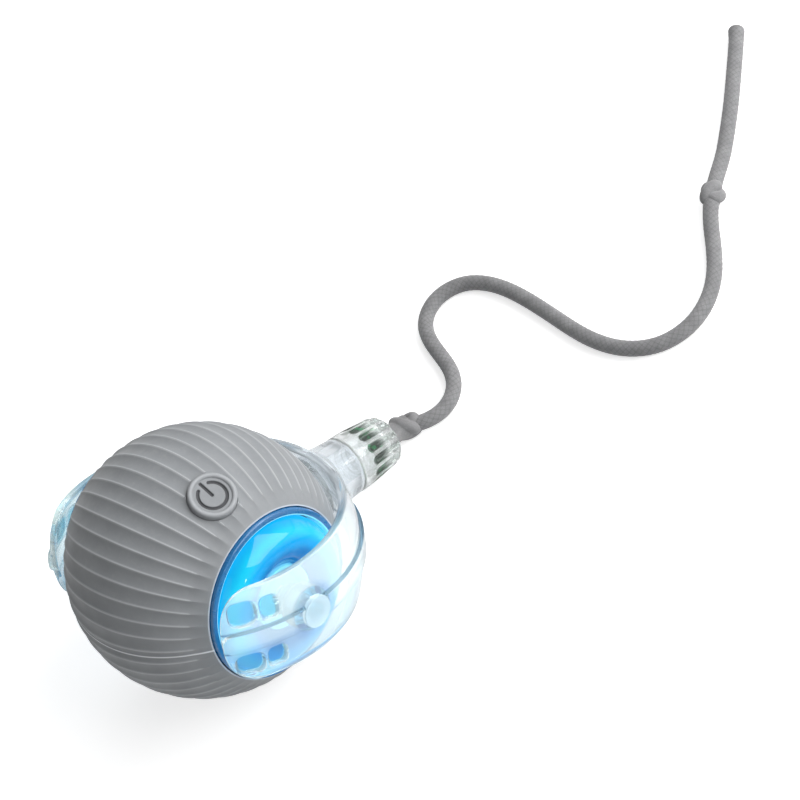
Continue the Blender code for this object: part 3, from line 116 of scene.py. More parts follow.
# %% [markdown]
# ## Modelling tools
# Nearly every moulded part of this toy is round, so most pieces are turned. One vertex is extruded
# from point to point to draw half of the section, and Spin turns it about the axis. The doubles on
# the axis are merged, and then the piece is moved to its place in the mesh itself, so that its
# object stays at the origin.

# %% Draw a section and turn it
SHARP_ANGLE = math.radians(32.0)
MERGE = 0.001 * MM


def select_only(first, *others):
    """Select these objects alone, with the first one active."""
    bpy.ops.object.select_all(action="DESELECT")
    for obj in (first, *others):
        obj.select_set(True)
    bpy.context.view_layer.objects.active = first


def edit(obj):
    """Go into edit mode with all of one object selected."""
    select_only(obj)
    bpy.ops.object.mode_set(mode="EDIT")
    bpy.ops.mesh.select_mode(type="VERT")
    bpy.ops.mesh.select_all(action="SELECT")


def leave_edit():
    bpy.ops.object.mode_set(mode="OBJECT")


def draw(name, points):
    """A line of edges through the points, extruded from a single vertex."""
    bpy.ops.mesh.primitive_plane_add(size=MM, location=(0.0, 0.0, 0.0))
    obj = bpy.context.object
    obj.name = obj.data.name = name
    edit(obj)
    bpy.ops.mesh.merge(type="CENTER")
    bpy.ops.transform.translate(value=points[0])
    for here, there in zip(points, points[1:]):
        bpy.ops.mesh.extrude_vertices_move(TRANSFORM_OT_translate={"value": there - here})
    leave_edit()
    return obj


def clean(obj):
    """Merge what lies in the same place and turn all faces outward."""
    edit(obj)
    bpy.ops.mesh.remove_doubles(threshold=MERGE)
    bpy.ops.mesh.normals_make_consistent(inside=False)
    leave_edit()


def turned(name, section, steps, angle=FULL_TURN, start=0.0, closed=True):
    """A section of (radius, height) points turned about the Z axis."""
    points = [Vector((r * math.cos(start), r * math.sin(start), z)) for r, z in section]
    if closed:
        points.append(points[0].copy())
    obj = draw(name, points)
    edit(obj)
    bpy.ops.mesh.remove_doubles(threshold=MERGE)
    bpy.ops.mesh.select_all(action="SELECT")
    bpy.ops.mesh.spin(steps=steps, angle=angle, center=(0.0, 0.0, 0.0), axis=(0.0, 0.0, -1.0))
    leave_edit()
    clean(obj)
    return obj


def turned_tool(name, section, steps, matrix):
    """A turned piece in its place, to be joined to another or cut out of it."""
    obj = turned(name, section, steps, closed=False)
    obj.data.transform(matrix)
    return obj


def declare(obj, body, node):
    """Say what a piece rides on and which solid it stands for."""
    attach(obj, body)
    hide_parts(node)
    print(obj.name, len(obj.data.polygons), "faces")


def settle(obj, matrix, body, node):
    obj.data.transform(matrix)
    select_only(obj)
    bpy.ops.object.shade_smooth_by_angle(angle=SHARP_ANGLE)
    declare(obj, body, node)


def smooth_all(obj):
    for polygon in obj.data.polygons:
        polygon.use_smooth = True


def copy_of(obj, name):
    """The same piece again, with a mesh of its own."""
    select_only(obj)
    bpy.ops.object.duplicate(linked=False)
    twin = bpy.context.object
    twin.name = twin.data.name = name
    return twin


def boolean(obj, operation, *tools):
    """Join or cut with other pieces, which are used up."""
    select_only(obj)
    for tool in tools:
        step = obj.modifiers.new(tool.name, "BOOLEAN")
        step.operation = operation
        step.object = tool
        step.solver = "EXACT"
        bpy.ops.object.modifier_apply(modifier=step.name)
        bpy.data.objects.remove(tool)


def spaced(start, end, steps):
    """Values at even distances, with both ends."""
    return [start + (end - start) * step / steps for step in range(steps + 1)]


def arc(centre, radius, start, end, steps):
    """Points of a circle in the plane of a section, angles in degrees from outward."""
    turns = [math.radians(angle) for angle in spaced(start, end, steps)]
    return [(centre[0] + radius * math.cos(turn), centre[1] + radius * math.sin(turn)) for turn in turns]


def rounded(radius, height, size, start, end, steps):
    """The rounded edge of a section, given by the corner that it takes away."""
    return arc((radius - size, height - size), size, start, end, steps)


def bend(first, corner, last, steps):
    """Points of a round corner between two points."""
    return [tuple(a * (1 - t) ** 2 + 2 * b * t * (1 - t) + c * t * t for a, b, c in zip(first, corner, last))
            for t in spaced(0, 1, steps)[1:-1]]


def masks_on(obj, *names):
    """New masks on the vertices, fetched only when all of them have been made."""
    for name in names:
        obj.data.attributes.new(name, "FLOAT", "POINT")
    return [obj.data.attributes[name].data for name in names]


def clamp(value, low=0.0, high=1.0):
    return min(high, max(low, value))


def smooth_step(low, high, value):
    share = clamp((value - low) / (high - low))
    return share * share * (3 - 2 * share)


print("tools ready")

# %% [markdown]
# ## The rope tail
# The real tail is one length of soft braided rope, about 157 mm from the knot inside the cap to its
# bare end, tied twice on the way. The whole of it shows in the photograph. It lies on the floor in a
# loose curve, and each knot lifts it a little, as does the swelling at its sealed end. Its route is
# a smooth curve through guide points, and rings of vertices are set along that curve.

# %% The rope's route
CAP_END = 41.0 * MM
CAP_FLOOR = 39.3 * MM
GAP = 0.3 * MM
ROPE_DIAMETER = 2.6 * MM
KNOT_RADIUS = 2.3 * MM
KNOT_LENGTH = 4.4 * MM
KNOT_RISE = 11.0 * MM
FLOOR_CLEARANCE = 0.02 * MM
SEALED_LENGTH = 3.2 * MM
SEALED_SWELL = 0.10
SEALED_ROUND = 0.7 * MM
ROUTE_STEPS = 12
SECOND_KNOT_SPAN = 20
ROUTE = (
    (-5.6, 4.2), (1.6, 3.1), (6.2, 8.9), (3.1, 16.0), (-4.5, 19.0), (-10.3, 22.4), (-11.8, 28.2),
    (-8.5, 32.9), (-2.9, 34.2), (2.5, 33.9), (8.0, 32.9), (13.0, 31.8), (18.2, 30.6), (23.7, 29.9),
    (29.2, 30.4), (34.3, 32.9), (37.2, 37.9), (37.1, 43.6), (34.9, 48.7), (31.7, 53.0),
    (28.4, 57.1), (25.8, 61.8), (23.7, 67.0), (21.5, 71.8), (19.2, 76.5), (16.7, 81.3),
    (14.0, 86.0), (11.4, 90.6), (8.6, 95.3), (5.4, 100.1),
)


def smooth_path(points):
    """A smooth curve drawn by its guide points."""
    path = []
    for first, second, third, fourth in zip(points, points[1:], points[2:], points[3:]):
        for step in range(ROUTE_STEPS):
            t = step / ROUTE_STEPS
            path.append((first * (1 - t) ** 3 + second * (3 * t ** 3 - 6 * t ** 2 + 4)
                         + third * (1 + 3 * t + 3 * t ** 2 - 3 * t ** 3) + fourth * t ** 3) / 6)
    path.append((points[-3] + 4 * points[-2] + points[-1]) / 6)
    return path


def length_of(path):
    return sum((b - a).length for a, b in zip(path, path[1:]))


def resample(path, pitch):
    """Points an even distance apart along a path, with both of its ends."""
    total = length_of(path)
    count = round(total / pitch)
    result = [path[0]]
    walked = 0.0
    for a, b in zip(path, path[1:]):
        step = (b - a).length
        while len(result) < count and total * len(result) / count <= walked + step:
            result.append(a.lerp(b, (total * len(result) / count - walked) / step))
        walked += step
    return result + [path[-1]]


rope_start = YOKE @ Vector((0.0, CAP_FLOOR + GAP, 0.0))
rope_exit = YOKE @ Vector((0.0, CAP_END + GAP, 0.0))
floor_path = smooth_path([Vector((rope_exit.x + x * MM, rope_exit.y + y * MM, 0.0)) for x, y in ROUTE])
second_mark = SECOND_KNOT_SPAN * ROUTE_STEPS
knot_marks = floor_path[0].copy(), floor_path[second_mark].copy()
low = ROPE_DIAMETER / 2
for point in floor_path:
    sealed = smooth_step(0.0, 1.0, 1 - (floor_path[-1].xy - point.xy).length / SEALED_LENGTH)
    point.z = low * (1 + SEALED_SWELL * sealed) + FLOOR_CLEARANCE
    for mark in knot_marks:
        near = max(0.0, 1 - ((point.xy - mark.xy).length / KNOT_RISE) ** 2)
        point.z = max(point.z, low + (KNOT_RADIUS - low) * near ** 2)
first_centre = floor_path[0]
neck_path = smooth_path([2 * rope_start - rope_exit, rope_start, rope_exit, first_centre,
                         2 * first_centre - rope_exit])
rope_route = neck_path + floor_path[1:]
print("rope", round(length_of(rope_route) / MM, 1), "mm along its middle")

# %% [markdown]
# A braid is two sets of strands that wind opposite ways and pass over and under each other. Two
# crossing waves in the height of the tube's surface give that, and the same turn and length go into
# a UV map, so that the yarns of the finish follow the braid. The bare end is heat sealed: slightly
# thicker, and rounded at its rim.

# %% The rope as a tube with a braid
RING_PITCH = 0.24 * MM
RING_POINTS = 44
BRAID_STRANDS = 8
BRAID_PITCH = 8.4 * MM
BRAID_RELIEF = 0.035 * MM
BRAID_POWER = 0.6
SEALED_RING_SHARES = (0.8, 0.6, 0.42, 0.26, 0.13, 0.05, 0.0)


def braid(turn_share, along):
    """The height of the braid, from 0 in the gaps to 1 on the strands."""
    one = math.cos(math.pi * (turn_share * BRAID_STRANDS + along / BRAID_PITCH * BRAID_STRANDS))
    other = math.cos(math.pi * (turn_share * BRAID_STRANDS - along / BRAID_PITCH * BRAID_STRANDS))
    return abs(one * other) ** BRAID_POWER


def tube(name, path, radius_at, around, relief=0.0):
    """A closed tube along a path. radius_at takes the way walked and the way left."""
    total = length_of(path)
    last_ring = len(path) - 1
    verts = []
    walked = 0.0
    normal = Vector((0.0, 0.0, 1.0))
    for ring, centre in enumerate(path):
        before = path[max(ring - 1, 0)]
        ahead = path[min(ring + 1, last_ring)]
        forward = (ahead - before).normalized()
        normal = (normal - forward * normal.dot(forward)).normalized()
        side = forward.cross(normal)
        radius = radius_at(walked, total - walked)
        for point in range(around):
            turn = FULL_TURN * point / around
            reach = radius + relief * (braid(point / around, walked) - 0.5)
            verts.append(centre + (normal * math.cos(turn) + side * math.sin(turn)) * reach)
        if ring < last_ring:
            walked += (ahead - centre).length
    faces = []
    shares = []
    for ring in range(last_ring):
        for point in range(around):
            corners = ((ring, point), (ring, point + 1), (ring + 1, point + 1), (ring + 1, point))
            faces.append([r * around + p % around for r, p in corners])
            shares += [(p / around, r * total / last_ring) for r, p in corners]
    for ring, order in ((0, -1), (last_ring, 1)):
        faces.append([ring * around + point for point in range(around)][::order])
        shares += [(0.0, ring * total / last_ring)] * around
    mesh = bpy.data.meshes.new(name)
    mesh.from_pydata(verts, [], faces)
    layer = mesh.uv_layers.new(name="along_rope")
    for loop, place in zip(layer.data, shares):
        loop.uv = (place[0], place[1] / ROPE_DIAMETER)
    obj = bpy.data.objects.new(name, mesh)
    bpy.context.scene.collection.objects.link(obj)
    edit(obj)
    bpy.ops.mesh.normals_make_consistent(inside=False)
    leave_edit()
    return obj


def rope_radius(walked, left):
    """The rope's radius, swollen and rounded at its sealed end."""
    radius = ROPE_DIAMETER / 2 * (1 + SEALED_SWELL * smooth_step(0.0, 1.0, 1 - left / SEALED_LENGTH))
    if left < SEALED_ROUND:
        radius -= SEALED_ROUND * (1 - math.sqrt(max(0.0, 1 - (1 - left / SEALED_ROUND) ** 2)))
    return radius


rope_rings = resample(rope_route, RING_PITCH)
last = rope_rings[-1]
toward = (last - rope_rings[-2]).normalized()
rope_rings = rope_rings[:-3] + [last - toward * SEALED_ROUND * share for share in SEALED_RING_SHARES]
tail_rope = tube("braided_rope", rope_rings, rope_radius, RING_POINTS, BRAID_RELIEF)
smooth_all(tail_rope)
print("rings", len(rope_rings), "faces", len(tail_rope.data.polygons))

# %% [markdown]
# Each knot is the same rope, thinned where it is pulled tight: a short core along the rope, and a
# trefoil wound round it. At the first knot a thicker, waisted neck leads in from the cap. A fine
# voxel remesh makes one skin of these tubes, with creases where the turns meet, and a few smoothing
# passes take the steps out.

# %% Tie the knots
KNOT_VOXEL = 0.10 * MM
KNOT_SMOOTHING = 3
KNOT_STRAND_SHARE = 0.43
KNOT_CORE_SHARE = 0.66
CORE_END_SHARE = 0.08
CORE_STEPS = 12
WRAP_STEPS = 150
CORE_AROUND, WRAP_AROUND, LEAD_AROUND = 28, 24, 32
LEAD_RADIUS = 1.85 * MM
LEAD_WAVE = 0.12 * MM
LEAD_PITCH = 0.5 * MM
LEAD_STEPS = 16


def lead_radius(walked, left):
    return LEAD_RADIUS + LEAD_WAVE * math.sin(walked / LEAD_PITCH)


def tied_knot(name, centre, direction, radius, length, lean, body, node, lead=()):
    """A tight knot: a core along the rope, and the rope knotted round it as a trefoil."""
    strand = radius * KNOT_STRAND_SHARE
    place = Matrix.Translation(centre) @ direction.to_track_quat("Z", "X").to_matrix().to_4x4()
    core_path = [Vector((0.0, 0.0, length * share)) for share in spaced(-0.5, 0.5, CORE_STEPS)]
    wrap_path = []
    for turn in spaced(0.0, FULL_TURN, WRAP_STEPS):
        reach = (radius - strand) * (2 + math.cos(3 * turn)) / 3
        wrap_path.append(Vector((reach * math.cos(2 * turn + lean), reach * math.sin(2 * turn + lean),
                                 (length * 0.5 - strand) * math.sin(3 * turn))))

    def core_radius(walked, left):
        full = max(CORE_END_SHARE, 1 - (2 * walked / length - 1) ** 4)
        return radius * KNOT_CORE_SHARE * math.sqrt(full)

    knot = tube(name, core_path, core_radius, CORE_AROUND)
    others = [tube("wrap", wrap_path, lambda walked, left: strand, WRAP_AROUND)]
    if lead:
        into = place.inverted()
        others.append(tube("lead", [into @ point for point in lead], lead_radius, LEAD_AROUND))
    select_only(knot, *others)
    bpy.ops.object.join()
    remesh = knot.modifiers.new("one skin", "REMESH")
    remesh.mode = "VOXEL"
    remesh.voxel_size = KNOT_VOXEL
    smooth = knot.modifiers.new("smooth", "SMOOTH")
    smooth.iterations = KNOT_SMOOTHING
    bpy.ops.object.modifier_apply(modifier=remesh.name)
    bpy.ops.object.modifier_apply(modifier=smooth.name)
    knot.data.transform(place)
    smooth_all(knot)
    declare(knot, body, node)
    return knot


def direction_at(mark):
    reach = ROUTE_STEPS // 2
    return (floor_path[mark + reach] - floor_path[max(0, mark - reach)]).normalized()


ANCHOR_RADIUS = 3.0 * MM
ANCHOR_LENGTH = 3.0 * MM
LONG_KNOT = 5.4 * MM
LONG_KNOT_SHIFT_SHARE = 0.1
FIRST_LEAN, SECOND_LEAN, INNER_LEAN = 0.4, 2.0, 1.0
anchor_centre = YOKE @ Vector((0.0, CAP_FLOOR - ANCHOR_LENGTH / 2, 0.0))
lead_path = [rope_exit.lerp(first_centre, share) for share in spaced(0.0, 1.0, LEAD_STEPS)]
knot_one = tied_knot("tied_knot_one", first_centre.lerp(rope_exit, LONG_KNOT_SHIFT_SHARE), direction_at(0),
                     KNOT_RADIUS, LONG_KNOT, FIRST_LEAN, "tail", "knot_first", lead_path)
knot_two = tied_knot("tied_knot_two", floor_path[second_mark], direction_at(second_mark),
                     KNOT_RADIUS, KNOT_LENGTH, SECOND_LEAN, "yoke", "knot_second")
knot_inside = tied_knot("tied_knot_inside", anchor_centre, TRAIL, ANCHOR_RADIUS, ANCHOR_LENGTH,
                        INNER_LEAN, "tail", "anchor_knot")

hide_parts("rope_neck", "rope_main", "rope_end")
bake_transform(tail_rope)

# %% [markdown]
# ## The fluted skin
# A soft silicone skin covers the ball in two halves that meet at a seam through the axle. Shallow
# flutes run from window to window, with a thin ridge between each pair. Half of the section is
# turned through half a circle, and then every vertex of the outer side is let in by the depth of
# its flute, which fades out near the windows.

# %% Turn one half of the skin
BALL_RADIUS = 21.5 * MM
SKIN_INNER = 20.0 * MM
OUTER_SIDE = 0.5 * MM
WINDOW_RADIUS = 13.7 * MM
FLUTES = 48
FLUTE_DEPTH = 0.27 * MM
FLUTE_FADE = 2.4 * MM
STEPS_PER_FLUTE = 12
SEAM_HALF_GAP = 0.03 * MM
SEAM_CHAMFER = 0.08 * MM
SEAM_CHAMFER_WIDTH = 0.22 * MM
SEAM_FLUTE_SHARE = 0.7
LIP_ROUND = 0.45 * MM
LIP_WIDTH = 0.30 * MM
LIP_STEPS, OUTSIDE_STEPS, INSIDE_STEPS = 6, 76, 28
window_angle = math.degrees(math.acos(WINDOW_RADIUS / BALL_RADIUS))
window_height = math.sqrt(BALL_RADIUS ** 2 - WINDOW_RADIUS ** 2)


def skin_section():
    """The skin's wall from one window's lip over the outside to the other's and back."""
    end_angle = window_angle - math.degrees(LIP_ROUND / BALL_RADIUS)
    outside = arc((0.0, 0.0), BALL_RADIUS, -end_angle, end_angle, OUTSIDE_STEPS)
    wall_top = (WINDOW_RADIUS, window_height - LIP_ROUND)
    lip = bend(outside[-1], (WINDOW_RADIUS, window_height), wall_top, LIP_STEPS)
    other_lip = [(r, -z) for r, z in reversed(lip)]
    inner_angle = math.degrees(math.acos(WINDOW_RADIUS / SKIN_INNER))
    inside = arc((0.0, 0.0), SKIN_INNER, inner_angle, -inner_angle, INSIDE_STEPS)
    wall_end = (WINDOW_RADIUS, -window_height + LIP_ROUND)
    return outside + lip + [wall_top] + inside + [wall_end] + other_lip


def let_in_flutes(obj):
    """Move the outer side in by the flutes and round it off at the seam."""
    # The ridge, seam and lip masks feed painted highlights in the skin's finish: lighter colour on the ridges,
    # along the seam's edges and on the lip round each window.
    ridge_highlights, seam_highlights, lip_highlights = masks_on(obj, "ridge_highlight", "seam", "lip")
    for vert in obj.data.vertices:
        reach = vert.co.length
        turn = math.atan2(vert.co.y, vert.co.x) * FLUTES / FULL_TURN
        flat = abs(2 * (turn % 1.0) - 1)
        to_window = window_height - abs(vert.co.z)
        fade = clamp(to_window / FLUTE_FADE)
        seam = 1 - smooth_step(0.0, SEAM_CHAMFER_WIDTH, abs(vert.co.x) - SEAM_HALF_GAP)
        ridge_highlights[vert.index].value = (1 - flat) * fade
        seam_highlights[vert.index].value = seam
        lip_highlights[vert.index].value = 1 - smooth_step(0.5, 1.0, to_window / LIP_WIDTH)
        if reach > SKIN_INNER + OUTER_SIDE:
            drop = FLUTE_DEPTH * fade * (1 - (1 - flat) ** 2) * (1 - SEAM_FLUTE_SHARE * seam)
            vert.co *= (reach - drop - SEAM_CHAMFER * seam) / reach


def skin_half(name, side):
    half = turned(name, skin_section(), FLUTES * STEPS_PER_FLUTE // 2, angle=math.pi,
                  start=side * math.pi / 2)
    edit(half)
    bpy.ops.mesh.bisect(plane_co=(-side * SEAM_HALF_GAP, 0.0, 0.0), plane_no=(side, 0.0, 0.0),
                        clear_outer=True, use_fill=True)
    leave_edit()
    let_in_flutes(half)
    half.data.transform(BALL @ SIDES["right"])
    return half


skin_upper = skin_half("fluted_skin_upper", 1)
skin_lower = skin_half("fluted_skin_lower", -1)
print("flutes", FLUTES, "ridge pitch", round(FULL_TURN * BALL_RADIUS / FLUTES / MM, 2), "mm")

# %% [markdown]
# The button comes through a round hole in the upper half, and the charging socket lies behind a
# slot in the lower half. Both are cut with a piece of their own shape.

# %% Cut the button's hole and the socket's slot
BUTTON_RADIUS = 3.8 * MM
HOLE_GAP = 0.08 * MM
HOLE_ROUND = 0.16 * MM
HOLE_BELOW_TOP = 0.45 * MM
HOLE_STEPS = 128
PORT_TILT = math.radians(210.5)
PORT_WIDTH = 8.8 * MM
PORT_HEIGHT = 3.2 * MM
PORT_CORNER = 1.5 * MM
PORT_CORNER_STEPS = 8
SLOT_START = 18.0 * MM
REACH = 24.0 * MM
CUT_PAST = 1.0 * MM
hole_radius = BUTTON_RADIUS + HOLE_GAP
hole_section = [(0.0, SKIN_INNER - CUT_PAST), (hole_radius, SKIN_INNER - CUT_PAST)]
hole_section += arc((hole_radius + HOLE_ROUND, BALL_RADIUS - HOLE_ROUND - HOLE_BELOW_TOP), HOLE_ROUND,
                    180, 90, 6)
hole_section += [(hole_radius + 2 * HOLE_ROUND, REACH), (0.0, REACH)]
boolean(skin_upper, "DIFFERENCE", turned_tool("cut_button_hole", hole_section, HOLE_STEPS, BUTTON))

bpy.ops.mesh.primitive_cube_add(size=1.0, location=(0.0, 0.0, 0.0))
slot_cutter = bpy.context.object
slot_cutter.name = "cut_port_slot"
edit(slot_cutter)
bpy.ops.transform.resize(value=(PORT_HEIGHT + 2 * GAP, PORT_WIDTH + 2 * GAP, REACH - SLOT_START))
bpy.ops.transform.translate(value=(0.0, 0.0, (REACH + SLOT_START) / 2))
bpy.ops.mesh.select_all(action="DESELECT")
bpy.ops.mesh.select_mode(type="EDGE")
leave_edit()
for edge in slot_cutter.data.edges:
    first, second = (slot_cutter.data.vertices[index].co for index in edge.vertices)
    edge.select = abs(first.z - second.z) > MM
bpy.ops.object.mode_set(mode="EDIT")
bpy.ops.mesh.bevel(offset=PORT_CORNER, segments=PORT_CORNER_STEPS)
leave_edit()
slot_cutter.data.transform(BALL @ Matrix.Rotation(PORT_TILT, 4, "Y"))
boolean(skin_lower, "DIFFERENCE", slot_cutter)
settle(skin_upper, Matrix(), "ball", "skin_upper")
settle(skin_lower, Matrix(), "ball", "skin_lower")

# %% [markdown]
# ## The windows
# Each pole of the ball has a blue bezel ring, a lens crowned like a doughnut with a painted glow, and a
# clear hub with the bearing hole in its middle. All three are turned pieces. They are drawn once for the
# right side, and a copy of each is turned round for the left.

# %% Sections of the bezel, the lens and the hub
WINDOW_SEAT = 13.7 * MM
BEZEL_OUTER = 13.6 * MM
BEZEL_INNER = 12.5 * MM
BEZEL_FRONT = 17.0 * MM
BEZEL_BASE = 14.0 * MM
BEZEL_OUTER_ROUND = 0.3 * MM
BEZEL_INNER_ROUND = 0.2 * MM
LENS_OUTER = 12.2 * MM
LENS_INNER = 5.3 * MM
LENS_BASE = 14.3 * MM
LENS_CREST_RADIUS = 9.0 * MM
LENS_CREST = 19.5 * MM
LENS_EDGE_DROP = 2.9 * MM
LENS_HUB_DROP = 1.6 * MM
LENS_POWER = 2.2
LENS_WALL = 1.1 * MM
LENS_FRONT_STEPS, LENS_BACK_STEPS = 40, 20
HUB_RADIUS = 5.0 * MM
HUB_FACE = 18.2 * MM
HUB_FLOOR = 14.9 * MM
HUB_ROUND = 0.25 * MM
HUB_DISH = 3.4 * MM
DISH_DEPTH = 0.6 * MM
DISH_CORNER = 0.45 * MM
DISH_RUN = 0.8 * MM
PIN_HOLE = 1.9 * MM
WINDOW_STEPS = 160


def on_lens(start, end, steps, under=0.0):
    """Points across the lens, on its crowned face or as far under it."""
    points = []
    for radius in spaced(start, end, steps):
        outer = radius > LENS_CREST_RADIUS
        edge, drop = (LENS_OUTER, LENS_EDGE_DROP) if outer else (LENS_INNER, LENS_HUB_DROP)
        across = (radius - LENS_CREST_RADIUS) / (edge - LENS_CREST_RADIUS)
        points.append((radius, LENS_CREST - drop * across ** LENS_POWER - under))
    return points


def pair(name, section, steps, place, body, node, closed=True):
    """A turned piece for the right side, and its copy turned round for the left."""
    right = turned(f"{name}_right", section, steps, closed=closed)
    pieces = right, copy_of(right, f"{name}_left")
    for obj, (side, matrix) in zip(pieces, SIDES.items()):
        settle(obj, place @ matrix, body, f"{node}_{side}")
    return pieces


back_outer = LENS_OUTER - LENS_WALL
back_inner = LENS_INNER + LENS_WALL
lens_section = (on_lens(LENS_OUTER, LENS_INNER, LENS_FRONT_STEPS)
                + [(LENS_INNER, LENS_BASE), (back_inner, LENS_BASE)]
                + on_lens(back_inner, back_outer, LENS_BACK_STEPS, LENS_WALL)
                + [(back_outer, LENS_BASE), (LENS_OUTER, LENS_BASE)])
bezel_section = ([(BEZEL_INNER, BEZEL_BASE), (BEZEL_OUTER, BEZEL_BASE)]
                 + rounded(BEZEL_OUTER, BEZEL_FRONT, BEZEL_OUTER_ROUND, 0, 90, 6)
                 + arc((BEZEL_INNER + BEZEL_INNER_ROUND, BEZEL_FRONT - BEZEL_INNER_ROUND),
                       BEZEL_INNER_ROUND, 90, 180, 5))
dish = HUB_FACE - DISH_DEPTH
hub_section = ([(0.0, HUB_FLOOR), (PIN_HOLE, HUB_FLOOR), (PIN_HOLE, dish), (HUB_DISH, dish)]
               + bend((HUB_DISH, dish), (HUB_DISH + DISH_CORNER, HUB_FACE),
                      (HUB_DISH + DISH_RUN, HUB_FACE), 5)
               + rounded(HUB_RADIUS, HUB_FACE, HUB_ROUND, 90, 0, 6)
               + [(HUB_RADIUS, WINDOW_SEAT), (0.0, WINDOW_SEAT)])
bezels = pair("bezel_trim", bezel_section, WINDOW_STEPS, BALL, "ball", "bezel_ring")
lenses = pair("glow_lens", lens_section, WINDOW_STEPS, BALL, "ball", "window_lens")
hubs = pair("bearing_hub", hub_section, WINDOW_STEPS, BALL, "ball", "hub_cup", closed=False)

# %% [markdown]
# ## The power button
# A round silicone button with a raised rim stands a little proud of the skin. Its flat face carries
# the usual standby sign, a ring that is open at one place with a short bar there, pressed in as a
# groove. The face is turned with rings close together, so that the groove is real geometry.

# %% Turn the button and press in its sign
BUTTON_TOP = 22.02 * MM
BUTTON_UNDER = 20.5 * MM
BUTTON_STEPS = 180
RIM_HALF_WIDTH = 0.45 * MM
RIM_RISE = 0.34 * MM
RIM_INNER_ANGLE = 164
STEM_RADIUS = 1.2 * MM
STEM_END = 17.7 * MM
SIGN_RADIUS = 2.20 * MM
SIGN_HALF_WIDTH = 0.25 * MM
SIGN_EDGE_SHARES = (0.6, 1.25)
SIGN_DEPTH = 0.30 * MM
SIGN_OPENING = math.radians(28.0)
SIGN_BAR = (0.05 * MM, 2.60 * MM)
SIGN_TURN = math.radians(177.0)
FACE_RINGS = 44
FACE_SLACK = 0.01 * MM


def sign_depth(x, y):
    """How deep the standby sign lies at a point of the face, from 0 to 1."""
    reach = math.hypot(x, y)
    turn = (math.atan2(y, x) - SIGN_TURN + math.pi) % FULL_TURN - math.pi
    along = reach * math.cos(turn)
    aside = reach * math.sin(turn)
    bar = math.hypot(aside, max(0.0, SIGN_BAR[0] - along, along - SIGN_BAR[1]))
    ring = abs(reach - SIGN_RADIUS)
    if abs(turn) < SIGN_OPENING:
        ring = math.hypot(along - SIGN_RADIUS * math.cos(SIGN_OPENING),
                          abs(aside) - SIGN_RADIUS * math.sin(SIGN_OPENING))
    return 1 - smooth_step(*SIGN_EDGE_SHARES, min(bar, ring) / SIGN_HALF_WIDTH)


crest = BUTTON_RADIUS - RIM_HALF_WIDTH
face = crest - RIM_HALF_WIDTH
face_top = BUTTON_TOP - RIM_RISE
section = [(radius, face_top) for radius in spaced(0.0, face, FACE_RINGS)]
section += rounded(BUTTON_RADIUS, BUTTON_TOP, RIM_HALF_WIDTH, RIM_INNER_ANGLE, 0, 18)
section += [(BUTTON_RADIUS, BUTTON_UNDER), (STEM_RADIUS, BUTTON_UNDER), (STEM_RADIUS, STEM_END),
            (0.0, STEM_END)]
button = turned("standby_button", section, BUTTON_STEPS, closed=False)
signs, rim_highlights = masks_on(button, "sign", "rim")
for vert in button.data.vertices:
    reach = math.hypot(vert.co.x, vert.co.y)
    # The rim mask gives a faint painted highlight along the rim's crest in the button's finish.
    rim_highlights[vert.index].value = 1 - smooth_step(0.0, RIM_HALF_WIDTH, abs(reach - crest))
    if vert.co.z > face_top - FACE_SLACK and reach < face:
        depth = sign_depth(vert.co.x, vert.co.y)
        signs[vert.index].value = depth
        vert.co.z -= SIGN_DEPTH * depth
settle(button, BUTTON, "button", "power_button")

# %% [markdown]
# ## The clear yoke
# A band of clear plastic lies on a sphere round the back of the ball, from a rounded paddle over one
# window to the paddle over the other. A spine runs along its middle, each paddle has shallow pockets,
# and a tube at the back takes the cap. An arc is turned into an outer and an inner sheet whose rows
# lie close together where the spine and the rim need them. Every vertex then gets its place on the
# sphere, so the rim closes in a round edge, and the fittings are joined on and cut out.

# %% Two sheets that close at the rim
BAND_INNER = 23.4 * MM
BAND_WALL = 1.5 * MM
BAND_HALF_WIDTH = 7.9 * MM
TIP_ANGLE = math.radians(36.5)
TIP_ROUND = math.radians(17.0)
TIP_POWER = 2.6
TIP_WALL_SHARE = 0.62
RIM_ROUND = 0.50 * MM
SPINE_HALF_WIDTH = 1.6 * MM
SPINE_HEIGHT = 0.55 * MM
SPINE_SLOPE = 0.14 * MM
POCKET_DEPTH = 0.6 * MM
POCKETS = (((-27.6, 10.6), (5.3, 4.6)), ((-17.4, 10.2), (3.6, 4.3)))
POCKET_POWER = 3.4
POCKET_EDGE_SHARES = (0.86, 1.08)
SHEET_STEPS = 340
SHEET_SWEEP = 4.0
CROWDING = 0.90
SPINE_ROWS = (0.0, 0.35, 0.7, 1.05, 1.3, 1.42, 1.5, 1.58, 1.66, 1.74, 1.85, 2.0, 2.2)
EVEN_ROWS = [SPINE_ROWS[-1] + 0.13 * step for step in range(1, 32)]
RIM_ROWS = (6.5, 6.8, 7.0, 7.2, 7.38, 7.52, 7.64, 7.74, 7.81, 7.86, 7.9)
half_latitude = math.asin(BAND_HALF_WIDTH / BAND_INNER)
lateral = [*SPINE_ROWS, *EVEN_ROWS, *RIM_ROWS]
levels = [-z * MM for z in reversed(lateral[1:])] + [z * MM for z in lateral]
arc_points = [(math.sqrt(BAND_INNER ** 2 - z * z), z) for z in levels]


def pocket_share(longitude, latitude):
    """How deep a pocket lies at a place of a paddle, from 0 to 1."""
    deepest = 0.0
    for (middle, across), (half_long, half_wide) in POCKETS:
        aside = abs((longitude - middle) / half_long) ** POCKET_POWER
        aside += abs((abs(latitude) - across) / half_wide) ** POCKET_POWER
        deepest = max(deepest, 1 - smooth_step(*POCKET_EDGE_SHARES, aside ** (1 / POCKET_POWER)))
    return deepest


